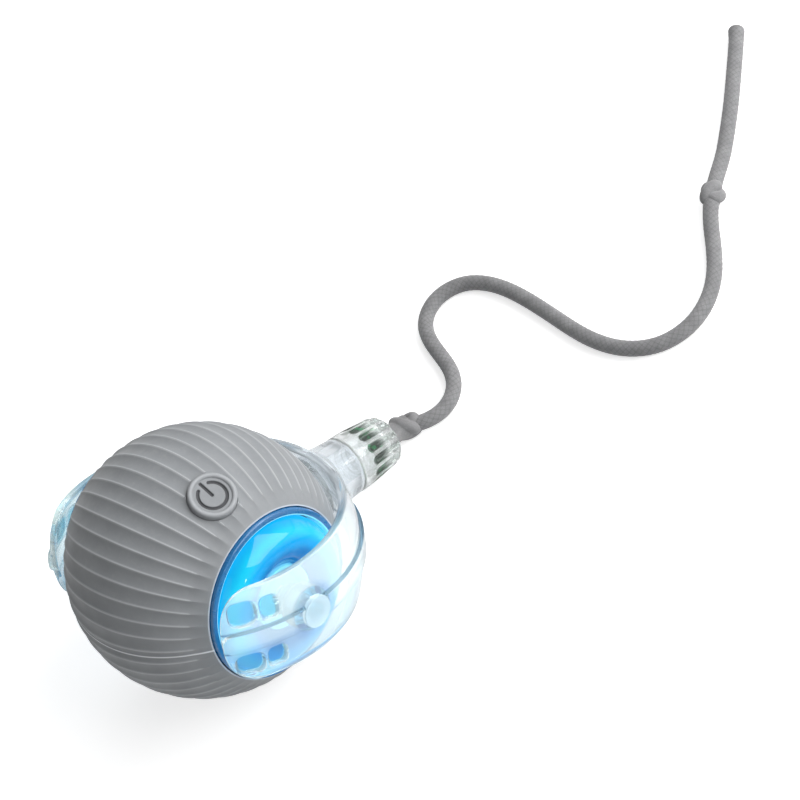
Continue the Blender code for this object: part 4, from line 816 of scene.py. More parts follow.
def lay_on_band(co, side):
    """The place of a sheet's vertex on the band. side is 1 outside and -1 inside."""
    latitude = math.asin(clamp(co.z / BAND_INNER, -1.0))
    across = clamp(latitude / half_latitude, -1.0)
    share = math.sin(CROWDING * math.atan2(co.y, co.x) * 2 / SHEET_SWEEP * QUARTER_TURN)
    share /= math.sin(CROWDING * QUARTER_TURN)
    round_off = TIP_ROUND * (1 - (1 - abs(across) ** TIP_POWER) ** (1 / TIP_POWER))
    reach = QUARTER_TURN + TIP_ANGLE - round_off
    past = clamp((abs(share) * reach - QUARTER_TURN) / TIP_ANGLE)
    wall = BAND_WALL * (1 - (1 - TIP_WALL_SHARE) * past ** 2)
    to_side = (half_latitude - abs(latitude)) * BAND_INNER
    to_tip = (1 - abs(share)) * reach * BAND_INNER
    near = clamp(min(to_side, to_tip) / RIM_ROUND)
    thick = math.sqrt(max(0.0, 1 - (1 - near) ** 2))
    radius = BAND_INNER + wall / 2 * (1 + side * thick)
    if side > 0:
        aside = math.hypot(co.z, max(0.0, SPINE_HALF_WIDTH - to_tip)) - SPINE_HALF_WIDTH
        radius += SPINE_HEIGHT * (1 - smooth_step(-SPINE_SLOPE, SPINE_SLOPE, aside))
        from_pole = math.degrees(QUARTER_TURN - abs(share) * reach)
        radius -= POCKET_DEPTH * pocket_share(from_pole, math.degrees(latitude))
    turn = QUARTER_TURN + share * reach
    flat = radius * math.cos(latitude)
    return Vector((flat * math.cos(turn), flat * math.sin(turn), radius * math.sin(latitude)))


yoke = turned("clear_yoke", arc_points, SHEET_STEPS, angle=SHEET_SWEEP, start=-SHEET_SWEEP / 2,
              closed=False)
inner_sheet = copy_of(yoke, "inner_sheet")
for sheet, side in ((yoke, 1), (inner_sheet, -1)):
    for vert in sheet.data.vertices:
        vert.co = lay_on_band(vert.co, side)
select_only(yoke, inner_sheet)
bpy.ops.object.join()
clean(yoke)
print("band", len(yoke.data.polygons), "faces")

# %% Bosses, socket and holes of the yoke
SOCKET_END = 31.3 * MM
SOCKET_RADIUS = 5.0 * MM
SOCKET_EDGE = 0.2 * MM
SOCKET_CORNER = (5.22 * MM, 26.6 * MM)
SOCKET_ROOT = (6.1 * MM, 24.0 * MM)
NECK_RADIUS = 3.6 * MM
NECK_LENGTH = 4.0 * MM
NECK_EDGE = 0.3 * MM
THREAD_HEIGHT = 0.25 * MM
THREAD_PITCH = 1.2 * MM
THREAD_START = 0.5 * MM
THREAD_LENGTH = 2.9 * MM
THREAD_STEPS = 40
THREAD_POWER = 1.5
SOCKET_BORE = 2.6 * MM
BORE_START = 27.5 * MM
BOSS_RADIUS = 3.4 * MM
BOSS_X = 20.7 * MM
STEP_RADIUS = 2.6 * MM
STEP_X = 18.7 * MM
PIN_RADIUS = 1.6 * MM
PIN_HEAD_RADIUS = 2.6 * MM
PIN_HEAD = 0.8 * MM
PRESS_GAP = 0.05 * MM
PAD_X = 25.45 * MM
PAD_CUT_END = 27.0 * MM
FITTING_STEPS = 96
boss_top = BAND_INNER + BAND_WALL / 2
boss = [(0.0, boss_top), (BOSS_RADIUS, boss_top), (BOSS_RADIUS, BOSS_X), (STEP_RADIUS, BOSS_X),
        (STEP_RADIUS, STEP_X), (0.0, STEP_X)]
neck_end = SOCKET_END + NECK_LENGTH
thread_root = NECK_RADIUS - THREAD_HEIGHT
socket = [(0.0, neck_end)] + rounded(thread_root, neck_end, NECK_EDGE, 90, 0, 4)
for along in spaced(0.0, THREAD_LENGTH, THREAD_STEPS)[:-1]:
    wave = 0.5 - 0.5 * math.cos(FULL_TURN * along / THREAD_PITCH)
    socket.append((thread_root + THREAD_HEIGHT * wave ** THREAD_POWER, neck_end - THREAD_START - along))
socket += [(thread_root, SOCKET_END)] + rounded(SOCKET_RADIUS, SOCKET_END, SOCKET_EDGE, 90, 0, 4)
socket += bend((SOCKET_RADIUS, SOCKET_END - SOCKET_EDGE), SOCKET_CORNER, SOCKET_ROOT, 14)
socket += [SOCKET_ROOT, (0.0, SOCKET_ROOT[1])]
bosses = [turned_tool(f"join_boss_{side}", boss, FITTING_STEPS, matrix) for side, matrix in SIDES.items()]
boolean(yoke, "UNION", *bosses, turned_tool("join_socket", socket, FITTING_STEPS, ALONG_Y))
head_room = PAD_X - PIN_HEAD - PRESS_GAP
head_hole = PIN_HEAD_RADIUS + PRESS_GAP
shaft_hole = PIN_RADIUS + PRESS_GAP
pin_cut = [(0.0, PAD_CUT_END), (head_hole, PAD_CUT_END), (head_hole, head_room),
           (shaft_hole, head_room), (shaft_hole, STEP_X - CUT_PAST), (0.0, STEP_X - CUT_PAST)]
bore = [(0.0, BORE_START), (SOCKET_BORE, BORE_START), (SOCKET_BORE, neck_end + CUT_PAST),
        (0.0, neck_end + CUT_PAST)]
cuts = [turned_tool(f"cut_pin_{side}", pin_cut, FITTING_STEPS, matrix) for side, matrix in SIDES.items()]
boolean(yoke, "DIFFERENCE", *cuts, turned_tool("cut_bore", bore, FITTING_STEPS, ALONG_Y))
print("yoke", len(yoke.data.polygons), "faces")

# %% [markdown]
# The finish of the yoke needs masks: where it has a painted glow for the lens's light, the socket,
# the pockets, the painted dark lines of shade at its creases and edges, and where a deeper blue is
# painted in.

# %% Masks of the yoke
SOCKET_FOOT = 24.2 * MM
FOOT_FADE = 1.0 * MM
GLOW_ANGLES = (24.0, 46.0)
OUTSIDE_ZONE = (0.35 * MM, 0.6 * MM)
BOSS_ZONE = (3.4 * MM, 5.4 * MM)
BOSS_FACE = 0.5 * MM
UNDER_SPINE = (0.2 * MM, 1.4 * MM)
SPINE_LINE = (0.10 * MM, 0.28 * MM)
POCKET_LINE_SHARES = (0.15, 0.40)
POCKET_LINE_SHARE = 0.45
RIM_LINE = (0.14 * MM, 0.42 * MM)
RIM_LINE_ANGLES = (-24.0, -8.0)
RIM_FADE_ANGLES = (30.0, 52.0)
BOSS_LINE = (0.05 * MM, 0.30 * MM)
RIM_FADE_SHARE, POCKET_DARK_SHARE, BOSS_DARK_SHARE = 0.85, 0.7, 0.8
DEEP_SHARE, INSIDE_GLOW_SHARE, BELOW_SHARE, BOSS_SHARE = 0.30, 0.15, 0.5, 0.65
painted_lens_glow, sockets, pockets, painted_crease_lines, painted_deep_tint = masks_on(yoke, "painted_lens_glow", "socket", "pocket", "painted_crease_line", "painted_deep_tint")
for vert in yoke.data.vertices:
    here = vert.index
    place = vert.co
    reach = place.length
    longitude = math.degrees(math.atan2(place.y, abs(place.x)))
    latitude = math.asin(place.z / reach)
    off_axle = math.hypot(place.y, place.z)
    near = 1 - smooth_step(*GLOW_ANGLES, math.degrees(math.acos(min(1.0, abs(place.x) / reach))))
    outside = smooth_step(*OUTSIDE_ZONE, reach - BAND_INNER)
    below = smooth_step(*UNDER_SPINE, -place.z)
    round_boss = outside * (1 - smooth_step(*BOSS_ZONE, off_axle))
    pocket = pocket_share(longitude, math.degrees(latitude))
    spine_foot = 1 - smooth_step(*SPINE_LINE, abs(abs(place.z) - SPINE_HALF_WIDTH - SPINE_SLOPE))
    pocket_edge = 1 - smooth_step(*POCKET_LINE_SHARES, abs(pocket - POCKET_LINE_SHARE))
    band_edge = 1 - smooth_step(*RIM_LINE, (half_latitude - abs(latitude)) * BAND_INNER)
    band_edge *= smooth_step(*RIM_LINE_ANGLES, longitude)
    band_edge *= 1 - RIM_FADE_SHARE * smooth_step(*RIM_FADE_ANGLES, longitude)
    on_boss = 1 - smooth_step(BAND_INNER - BOSS_FACE, BAND_INNER, abs(place.x))
    nearest_step = min(abs(off_axle - BOSS_RADIUS), abs(off_axle - STEP_RADIUS))
    boss_edge = on_boss * (1 - smooth_step(*BOSS_LINE, nearest_step))
    on_band = 1 - smooth_step(SOCKET_FOOT, SOCKET_FOOT + FOOT_FADE, place.y)
    # Painted shade: dark lines along the spine's foot, at the pockets' edges, along one stretch of the band's rim
    # and at the boss's steps.
    painted_crease_lines[here].value = on_band * max(outside * spine_foot, POCKET_DARK_SHARE * outside * pocket_edge,
                                        band_edge, BOSS_DARK_SHARE * boss_edge)
    # Painted light: a deeper blue below the spine, in the pockets and round the boss, and a glow over the windows,
    # for the lens's light.
    painted_deep_tint[here].value = max(below * near * max(DEEP_SHARE * outside, pocket), DEEP_SHARE * round_boss)
    glow_share = INSIDE_GLOW_SHARE + (1 - INSIDE_GLOW_SHARE) * outside * (1 - pocket)
    painted_lens_glow[here].value = near * glow_share * (1 - BELOW_SHARE * below) * (1 - BOSS_SHARE * round_boss)
    pockets[here].value = pocket
    sockets[here].value = smooth_step(SOCKET_FOOT, SOCKET_FOOT + 2 * FOOT_FADE, place.y)
settle(yoke, YOKE, "yoke", "yoke_band")

# %% [markdown]
# Two clear pins carry the ball. Each has a flat round head, which sits in the paddle's spine, and a
# shaft with a tapered tip that runs in the hub.

# %% Turn the pivot pins
PIN_TIP_X = 15.2 * MM
PIN_TAPER = 0.4 * MM
PIN_EDGE = 0.15 * MM
pin_section = ([(0.0, PAD_X)] + rounded(PIN_HEAD_RADIUS, PAD_X, PIN_EDGE, 90, 0, 4)
               + [(PIN_HEAD_RADIUS, PAD_X - PIN_HEAD), (PIN_RADIUS, PAD_X - PIN_HEAD),
                  (PIN_RADIUS, PIN_TIP_X + PIN_TAPER), (PIN_RADIUS - PIN_TAPER, PIN_TIP_X),
                  (0.0, PIN_TIP_X)])
pins = pair("clear_pin", pin_section, FITTING_STEPS, YOKE, "yoke", "pivot_pin", closed=False)

# %% [markdown]
# ## The fluted cap
# The screw cap is a clear thimble: a plain collar, then fourteen flutes that start in round arches
# and run out over its end. It is turned first, and the flutes are let into its outer side.

# %% Turn the cap and let in its flutes
CAP_START = 31.6 * MM
CAP_RADIUS = 5.0 * MM
CAP_END_RADIUS = 4.4 * MM
CAP_COLLAR = 2.2 * MM
CAP_COLLAR_RINGS = (1.4 * MM, 0.7 * MM)
CAP_ROUND = 1.0 * MM
CAP_LIP = 0.25 * MM
CAP_EDGE = 0.2 * MM
CAP_HOLE = 1.7 * MM
CAP_FACE = 0.8 * MM
CAP_SIDE_STEPS = 30
ROOM_CORNER = 0.4 * MM
ROOM_SHARES = (0.3, 0.6, 1.0)
CAP_FLUTES = 14
CAP_STEPS = CAP_FLUTES * 16
FLUTE_RADIUS = 0.92 * MM
FLUTE_REST = 0.48 * MM
FLUTE_START = (CAP_HOLE + 0.4 * MM, CAP_END_RADIUS - 0.6 * MM)
FLUTE_MARGIN = 0.5 * MM
FLUTE_SLACK = 0.05 * MM
FLUTE_LINE_SHARE = 0.10
FLUTE_LINE_WIDTH_SHARE = 0.22
ARCH_EDGE_SHARE = 0.15
ARCH_LENGTH = 1.4 * MM
ARCH_FADE = 3.0 * MM
cap_room = NECK_RADIUS + GAP
section = [(CAP_HOLE, CAP_FLOOR + CAP_EDGE), (CAP_HOLE, CAP_END - CAP_EDGE),
           (CAP_HOLE + CAP_EDGE, CAP_END), (CAP_HOLE + CAP_FACE, CAP_END)]
section += rounded(CAP_END_RADIUS, CAP_END, CAP_ROUND, 90, 4, 12)
side_top = Vector(section[-1])
side_foot = Vector((CAP_RADIUS, CAP_START + CAP_COLLAR))
section += [side_top.lerp(side_foot, share) for share in spaced(0.0, 1.0, CAP_SIDE_STEPS)[1:]]
section += [(CAP_RADIUS, CAP_START + height) for height in CAP_COLLAR_RINGS]
section += arc((CAP_RADIUS - CAP_LIP, CAP_START + CAP_LIP), CAP_LIP, 0, -90, 5)
section += [(cap_room + CAP_EDGE, CAP_START), (cap_room, CAP_START + CAP_EDGE)]
section += [(cap_room, CAP_START + share * (CAP_FLOOR - ROOM_CORNER - CAP_START)) for share in ROOM_SHARES]
section += [(cap_room - ROOM_CORNER, CAP_FLOOR)]
cap = turned("fluted_cap", section, CAP_STEPS)
arch = CAP_START + CAP_COLLAR + FLUTE_RADIUS
flutes, arch_shades, flute_edge_shades = masks_on(cap, "flute", "arch", "flute_edge_shade")
for vert in cap.data.vertices:
    here = vert.index
    reach = math.hypot(vert.co.x, vert.co.y)
    outside = reach > cap_room + FLUTE_SLACK or vert.co.z > CAP_END - FLUTE_SLACK
    if outside and reach > CAP_HOLE + FLUTE_MARGIN:
        turn = math.atan2(vert.co.y, vert.co.x) * CAP_FLUTES / FULL_TURN % 1.0
        aside = abs(2 * turn - 1) * math.pi / CAP_FLUTES * CAP_RADIUS
        away = math.hypot(aside, max(0.0, arch - vert.co.z))
        depth = math.sqrt(max(0.0, FLUTE_RADIUS ** 2 - away ** 2)) - FLUTE_REST
        share = depth / (FLUTE_RADIUS - FLUTE_REST)
        past_arch = smooth_step(arch + ARCH_LENGTH, arch + ARCH_LENGTH + ARCH_FADE, vert.co.z)
        # These masks give painted shade in the cap's finish: darker in the flutes, dark lines along them and near
        # black in their arches.
        flutes[here].value = max(0.0, share)
        arch_shades[here].value = clamp(share / ARCH_EDGE_SHARE) * (1 - past_arch)
        flute_edge_shades[here].value = max(0.0, 1 - abs(share - FLUTE_LINE_SHARE) / FLUTE_LINE_WIDTH_SHARE)
        if depth > 0.0:
            squeeze = 1 - depth * smooth_step(*FLUTE_START, reach) / reach
            vert.co.x *= squeeze
            vert.co.y *= squeeze
settle(cap, YOKE @ ALONG_Y, "cap", "tail_cap")

# %% [markdown]
# ## Finishes
# Three effects are used by several materials, so each is a node group with named inputs and outputs.
# The moulded grain is the fine texture of plastic and rubber, together with the soft cloudy patches
# where hands and floors have polished them. Worn edges are where a shape is sharp, and dust lies on
# what faces up.

# %% Shader tools
BLACK = (0.0, 0.0, 0.0)
WHITE = (1.0, 1.0, 1.0)


def node(tree, kind, **values):
    made = tree.nodes.new(kind)
    for key, value in values.items():
        setattr(made, key, value)
    return made


def put(socket, value):
    """Set a socket to a number or colour, or link another socket to it."""
    if isinstance(value, bpy.types.NodeSocket):
        socket.id_data.links.new(value, socket)
    else:
        socket.default_value = (*value, 1.0) if socket.type == "RGBA" else value


def calculate(tree, operation, first, second=0.0, clamp=False):
    made = node(tree, "ShaderNodeMath", operation=operation, use_clamp=clamp)
    put(made.inputs[0], first)
    put(made.inputs[1], second)
    return made.outputs[0]


def times(tree, first, second):
    return calculate(tree, "MULTIPLY", first, second)


def remap(tree, value, from_low, from_high, to_low=0.0, to_high=1.0):
    made = node(tree, "ShaderNodeMapRange")
    for label, part in (("Value", value), ("From Min", from_low), ("From Max", from_high),
                        ("To Min", to_low), ("To Max", to_high)):
        put(made.inputs[label], part)
    return made.outputs["Result"]


def layered(tree, colour, *layers):
    """A colour with others laid over it, given as (share, colour) pairs."""
    for share, other in layers:
        made = node(tree, "ShaderNodeMix", data_type="RGBA")
        for index, part in ((0, share), (6, colour), (7, other)):
            put(made.inputs[index], part)
        colour = made.outputs[2]
    return colour


def place_in(tree, kind="Object"):
    return node(tree, "ShaderNodeTexCoord").outputs[kind]


def split(tree, vector):
    made = node(tree, "ShaderNodeSeparateXYZ")
    put(made.inputs[0], vector)
    return made.outputs


def noise(tree, scale, detail, roughness=0.5):
    made = node(tree, "ShaderNodeTexNoise")
    for label, value in (("Vector", place_in(tree)), ("Scale", scale), ("Detail", detail),
                         ("Roughness", roughness)):
        put(made.inputs[label], value)
    return made.outputs["Fac"]


def new_group(name, inputs, outputs):
    """A node group and its own sockets. Inputs are (name, value), outputs are names."""
    group = bpy.data.node_groups.new(name, "ShaderNodeTree")
    for label, value in inputs:
        socket = group.interface.new_socket(name=label, in_out="INPUT", socket_type="NodeSocketFloat")
        socket.default_value = value
    for label in outputs:
        group.interface.new_socket(name=label, in_out="OUTPUT", socket_type="NodeSocketFloat")
    return group, node(group, "NodeGroupInput").outputs, node(group, "NodeGroupOutput").inputs


print("shader tools ready")

# %% Shared effects
moulded, given, result = new_group("moulded_grain", (("Grain Scale", 5000.0), ("Patch Scale", 120.0)),
                                   ("Grain", "Patches"))
put(result["Grain"], noise(moulded, given["Grain Scale"], 3.0))
put(result["Patches"], remap(moulded, noise(moulded, given["Patch Scale"], 4.0, 0.6), 0.35, 0.65))

worn, given, result = new_group("worn_edges", (("Sharpness", 0.56),), ("Edges",))
pointed = node(worn, "ShaderNodeNewGeometry").outputs["Pointiness"]
raised = calculate(worn, "SUBTRACT", pointed, given["Sharpness"])
put(result["Edges"], calculate(worn, "MULTIPLY", raised, 12.0, clamp=True))

dusty, given, result = new_group("dust", (("Amount", 0.5),), ("Dust",))
upward = remap(dusty, split(dusty, node(dusty, "ShaderNodeNewGeometry").outputs["Normal"])["Z"], 0.2, 1.0)
specks = remap(dusty, noise(dusty, 900.0, 5.0, 0.7), 0.5, 0.75)
put(result["Dust"], calculate(dusty, "MULTIPLY", times(dusty, upward, specks), given["Amount"], clamp=True))
print("groups", [group.name for group in bpy.data.node_groups])


# %% A material and its helpers
def set_inputs(made, values):
    for key, value in values.items():
        put(made.inputs[key.replace("_", " ")], value)


def new_material(name, **constants):
    """A material with a Principled shader, and its plain constants set on the shader."""
    material = bpy.data.materials.new(name)
    material.use_nodes = True
    shader = material.node_tree.nodes["Principled BSDF"]
    set_inputs(shader, constants)
    return material, material.node_tree, shader


def effect(tree, group, **values):
    made = node(tree, "ShaderNodeGroup", node_tree=group)
    set_inputs(made, values)
    return made.outputs


def patchy(tree, grain, low, high):
    """A value that changes with the soft patches of a surface."""
    return remap(tree, grain["Patches"], 0.0, 1.0, low, high)


def surface(shader, colour, rough, height, strength, depth):
    """Set the colour, the roughness and the fine relief of a material."""
    made = node(shader.id_data, "ShaderNodeBump")
    set_inputs(made, {"Height": height, "Strength": strength, "Distance": depth})
    set_inputs(shader, {"Base_Color": colour, "Roughness": rough, "Normal": made.outputs["Normal"]})


def mask_of(name, share=1.0):
    """Fetches a mask of the vertices, at full strength or less."""
    def fetched(tree):
        return times(tree, node(tree, "ShaderNodeAttribute", attribute_name=name).outputs["Fac"], share)
    return fetched


def dress(material, *objs):
    """Give pieces one material in all of their slots."""
    for obj in objs:
        obj.data.materials.clear()
        obj.data.materials.append(material)
    print(material.name, "on", ", ".join(obj.name for obj in objs))


print("material helpers ready")

# %% [markdown]
# The skin is matte silicone, a neutral mid grey. Its ridges, the edges of its seam and the lip round
# each window are painted lighter, as painted highlights, and the flutes hold a little dust.

# %% Silicone skin and button
SKIN_GREY = (0.26, 0.273, 0.286)
# The paler tone is used both for the random patches and for the painted highlights.
SKIN_PALE_AND_HIGHLIGHT = (0.74, 0.76, 0.79)
BUTTON_GREY = (0.285, 0.298, 0.312)
SIGN_SHADE = (0.05, 0.05, 0.055)
LIP_HIGHLIGHT = (0.70, 0.78, 0.88)
DUST_GREY = (0.5, 0.5, 0.5)


def silicone(name, colour, highlight_mask, last_mask, last_colour):
    material, tree, shader = new_material(name, Specular_IOR_Level=0.30, Sheen_Weight=0.08,
                                          Sheen_Roughness=0.4)
    grain = effect(tree, moulded, Grain_Scale=9000.0, Patch_Scale=160.0)
    toned = layered(tree, colour, (patchy(tree, grain, 0.0, 0.05), SKIN_PALE_AND_HIGHLIGHT),
                    (highlight_mask(tree), SKIN_PALE_AND_HIGHLIGHT),
                    (effect(tree, dusty, Amount=0.15)["Dust"], DUST_GREY), (last_mask(tree), last_colour))
    surface(shader, toned, patchy(tree, grain, 0.62, 0.50), grain["Grain"], 0.22, 0.02 * MM)
    return material


# Painted highlights: the skin is lighter along its ridges and along the edges of its seam.
def ridge_and_seam_highlights(tree):
    ridge_highlight = remap(tree, mask_of("ridge_highlight")(tree), 0.78, 1.0, 0.0, 0.42)
    return calculate(tree, "MAXIMUM", ridge_highlight, remap(tree, mask_of("seam")(tree), 0.2, 0.7))


# Painted shade: the button is darkened where the groove of its sign lies.
def painted_sign_shade(tree):
    return remap(tree, mask_of("sign")(tree), 0.15, 0.8, 0.0, 0.85)


# The lip mask adds a painted highlight round each window.
skin_finish = silicone("grey_silicone", SKIN_GREY, ridge_and_seam_highlights, mask_of("lip", 0.8), LIP_HIGHLIGHT)
button_finish = silicone("button_silicone", BUTTON_GREY, mask_of("rim", 0.25), painted_sign_shade, SIGN_SHADE)
dress(skin_finish, skin_upper, skin_lower)
dress(button_finish, button)

# %% [markdown]
# The lens sits in front of the light board, and its look is painted into its colour as a glow: bright
# cyan over its outer half, and deep blue, painted shade, on the slope down to the hub. The glow is part
# of the plastic's colour, so it follows the distance from the axle, and a clear coat gives the sharp
# reflections of the polished face. The bezel is navy blue, and the edge next to the lens has a painted
# glow that stands for the lens's light.

# %% Lens and bezel
# Painted glow and shade of the lens, from the hub out: deep blue, painted shade, on the inner slope, and bright
# cyan, painted glow, towards the rim.
LENS_GLOW_AND_SHADE = ((0.0, (0.0, 0.15, 0.44)), (0.28, (0.0, 0.20, 0.58)), (0.55, (0.0, 0.43, 0.93)),
                (0.8, (0.005, 0.68, 1.0)), (1.0, (0.0, 0.46, 0.90)))
BEZEL_PAINTED_GLOW = (BEZEL_INNER / MM + 0.10, BEZEL_INNER / MM + 0.28)


def from_axle(tree):
    """The distance from the axle's line in millimetres, in the ball's own place."""
    parts = split(tree, place_in(tree))
    height = calculate(tree, "SUBTRACT", parts["Z"], CENTRE.z)
    squares = calculate(tree, "ADD", times(tree, parts["Y"], parts["Y"]), times(tree, height, height))
    return calculate(tree, "DIVIDE", calculate(tree, "SQRT", squares), MM)


def ramp(tree, value, stops):
    """A colour ramp over a value, with stops of (place, colour)."""
    made = node(tree, "ShaderNodeValToRGB")
    made.color_ramp.interpolation = "EASE"
    elements = made.color_ramp.elements
    while len(elements) < len(stops):
        elements.new(0.5)
    for element, (place, colour) in zip(elements, stops):
        element.position = place
        element.color = (*colour, 1.0)
    put(made.inputs["Fac"], value)
    return made.outputs["Color"]


lens_finish, tree, shader = new_material("glowing_lens", Roughness=0.10, IOR=1.40, Coat_Weight=0.60,
                                         Specular_IOR_Level=0.15, Coat_Roughness=0.02,
                                         Emission_Strength=0.68)
spread = remap(tree, from_axle(tree), LENS_INNER / MM, LENS_OUTER / MM)
clouds = effect(tree, moulded, Grain_Scale=3000.0, Patch_Scale=210.0)
painted_glow = ramp(tree, calculate(tree, "ADD", spread, patchy(tree, clouds, -0.03, 0.03)), LENS_GLOW_AND_SHADE)
set_inputs(shader, {"Base_Color": layered(tree, painted_glow, (0.72, (0.0, 0.01, 0.03))), "Emission_Color": painted_glow})

bezel_finish, tree, shader = new_material("navy_bezel", IOR=1.5, Coat_Weight=0.6, Coat_Roughness=0.08,
                                          Emission_Strength=0.35)
grain = effect(tree, moulded, Grain_Scale=7000.0, Patch_Scale=260.0)
edges = effect(tree, worn, Sharpness=0.53)["Edges"]
# Painted glow: the bezel's inner edge next to the lens is painted bright, standing for the lens's light.
painted_edge_glow = remap(tree, from_axle(tree), *BEZEL_PAINTED_GLOW, 1.0, 0.0)
toned = layered(tree, (0.004, 0.13, 0.34), (patchy(tree, grain, 0.0, 0.25), (0.010, 0.20, 0.46)),
                (times(tree, edges, 0.5), (0.12, 0.30, 0.62)), (painted_edge_glow, (0.40, 0.85, 0.98)))
set_inputs(shader, {"Emission_Color": layered(tree, BLACK, (painted_edge_glow, (0.30, 0.85, 1.0)))})
surface(shader, toned, patchy(tree, grain, 0.20, 0.32), grain["Grain"], 0.10, 0.01 * MM)
dress(lens_finish, *lenses)
dress(bezel_finish, *bezels)

# %% [markdown]
# The yoke, its pins, the cap and the hubs are clear plastic. It is a refracting shader with a touch
# of blue, which lets less than all of the light through, so that it looks a little milky. It has a
# little haze where it has been handled, and is painted darker where it is seen edge on, as in the thin
# grey outlines that clear plastic has against white. Over the windows it has a painted glow and a paler
# tint for the lens's light, less so round the boss, and its pockets and lower half are painted a deeper
# blue. Its creases and edges get painted dark lines of shade. Shadow rays pass it, so that what lies
# behind it isn't left dark.

# %% Clear plastic
FACING_BLEND = 0.30
EDGE_ON = (0.38, 0.95)
NEAR_WINDOW_GLOW = (5.0, 12.0, 0.5, 0.0)
HUB_RIM_HIGHLIGHT = (HUB_RADIUS / MM - 0.45, HUB_RADIUS / MM - 0.1, 0.6, 1.0)
GREEN_BITS = (0.56, 0.62, 0.0, 0.9)


def clear_plastic(name, middle, rim, haze, shadow_left, through, tints=(), painted_glow=None):
    """Tints are (mask, colour) pairs. The glow is painted light that stands for the lens's light caught by the
    plastic.
    """
    material, tree, shader = new_material(name, IOR=1.46, Transmission_Weight=through)
    grain = effect(tree, moulded, Grain_Scale=2600.0, Patch_Scale=190.0)
    facing = node(tree, "ShaderNodeLayerWeight")
    facing.inputs["Blend"].default_value = FACING_BLEND
    edge_on = remap(tree, facing.outputs["Facing"], *EDGE_ON)
    tint = layered(tree, middle, *((mask(tree), colour) for mask, colour in tints), (edge_on, rim))
    # Painted light: an emission where the mask says the plastic catches the lens's light.
    if painted_glow:
        mask, colour, strength = painted_glow
        painted_light_colour = layered(tree, BLACK, (mask(tree), colour))
        set_inputs(shader, {"Emission_Color": painted_light_colour, "Emission_Strength": strength})
    passed = times(tree, node(tree, "ShaderNodeLightPath").outputs["Is Shadow Ray"], 1.0 - shadow_left)
    set_inputs(shader, {"Base_Color": tint, "Roughness": patchy(tree, grain, haze * 0.5, haze),
                        "Alpha": calculate(tree, "SUBTRACT", 1.0, passed)})
    return material


def by_axle(*span):
    """Makes a mask that changes with the distance from the axle."""
    return lambda tree: remap(tree, from_axle(tree), *span)


def green_bits(tree):
    return times(tree, remap(tree, noise(tree, 620.0, 2.0), *GREEN_BITS), mask_of("arch")(tree))


# Painted light over the windows, a painted deeper blue in the pockets and lower half, and painted dark lines of
# shade at the creases.
yoke_finish = clear_plastic("clear_yoke_plastic", (0.88, 0.93, 0.96), (0.24, 0.28, 0.32), 0.06, 0.15, 0.80,
                            ((mask_of("socket"), (0.80, 0.84, 0.87)),
                             (mask_of("painted_lens_glow"), (0.88, 0.98, 0.97)),
                             (mask_of("pocket"), (0.42, 0.82, 0.93)),
                             (mask_of("painted_deep_tint"), (0.14, 0.55, 0.82)),
                             (mask_of("painted_crease_line", 0.95), (0.02, 0.16, 0.30))),
                            (mask_of("painted_lens_glow"), (0.90, 1.0, 0.88), 0.19))
# The pins get a painted glow near the windows.
pin_finish = clear_plastic("clear_pin_plastic", (0.78, 0.92, 0.98), (0.60, 0.76, 0.86), 0.06, 0.15, 0.62,
                           painted_glow=(by_axle(*NEAR_WINDOW_GLOW), (0.60, 0.90, 1.0), 0.05))
# Painted shade in the flutes, along their edges and in their arches.
cap_finish = clear_plastic("clear_cap_plastic", (0.92, 0.94, 0.94), (0.20, 0.24, 0.23), 0.05, 0.15, 0.82,
                           ((mask_of("flute"), (0.70, 0.78, 0.74)),
                            (mask_of("flute_edge_shade"), (0.16, 0.20, 0.18)),
                            (mask_of("arch"), (0.03, 0.045, 0.035)), (green_bits, (0.02, 0.30, 0.08))))
# The hubs get a painted glow, brightest at their rim as a painted highlight.
hub_finish = clear_plastic("clear_hub_plastic", (0.36, 0.72, 0.88), (0.40, 0.76, 0.94), 0.10, 0.2, 0.60,
                           painted_glow=(by_axle(*HUB_RIM_HIGHLIGHT), (0.24, 0.86, 1.0), 0.24))
dress(yoke_finish, yoke)
dress(cap_finish, cap)
dress(pin_finish, *pins)
dress(hub_finish, *hubs)

# %% [markdown]
# The rope is a matte grey braid. The yarns run along its strands, so their fine lines use the rope's
# own UV map, while the fuzz and the small changes of tone use the place in space. The gaps between the
# strands are painted darker, as painted shade, and the knot inside the cap has a darker copy of the
# finish, which is painted shade.

# %% Braided rope
ROPE_COLOURS = ((0.245, 0.245, 0.25), (0.10, 0.10, 0.105), (0.46, 0.46, 0.465))
# A darker, greener copy of the rope's colours: painted shade on the knot inside the cap.
SHADED_ROPE_COLOURS = ((0.06, 0.085, 0.075), (0.02, 0.035, 0.03), (0.16, 0.24, 0.20))
YARNS = 3


def braid_waves(tree, operation, turns):
    """Two waves that cross like the strands of the braid, one times the other."""
    place = split(tree, node(tree, "ShaderNodeUVMap", uv_map="along_rope").outputs["UV"])
    around = times(tree, place["X"], BRAID_STRANDS * turns)
    along = times(tree, place["Y"], ROPE_DIAMETER / BRAID_PITCH * BRAID_STRANDS * turns)
    waves = [calculate(tree, operation, calculate(tree, way, around, along)) for way in ("ADD", "SUBTRACT")]
    return times(tree, *waves)


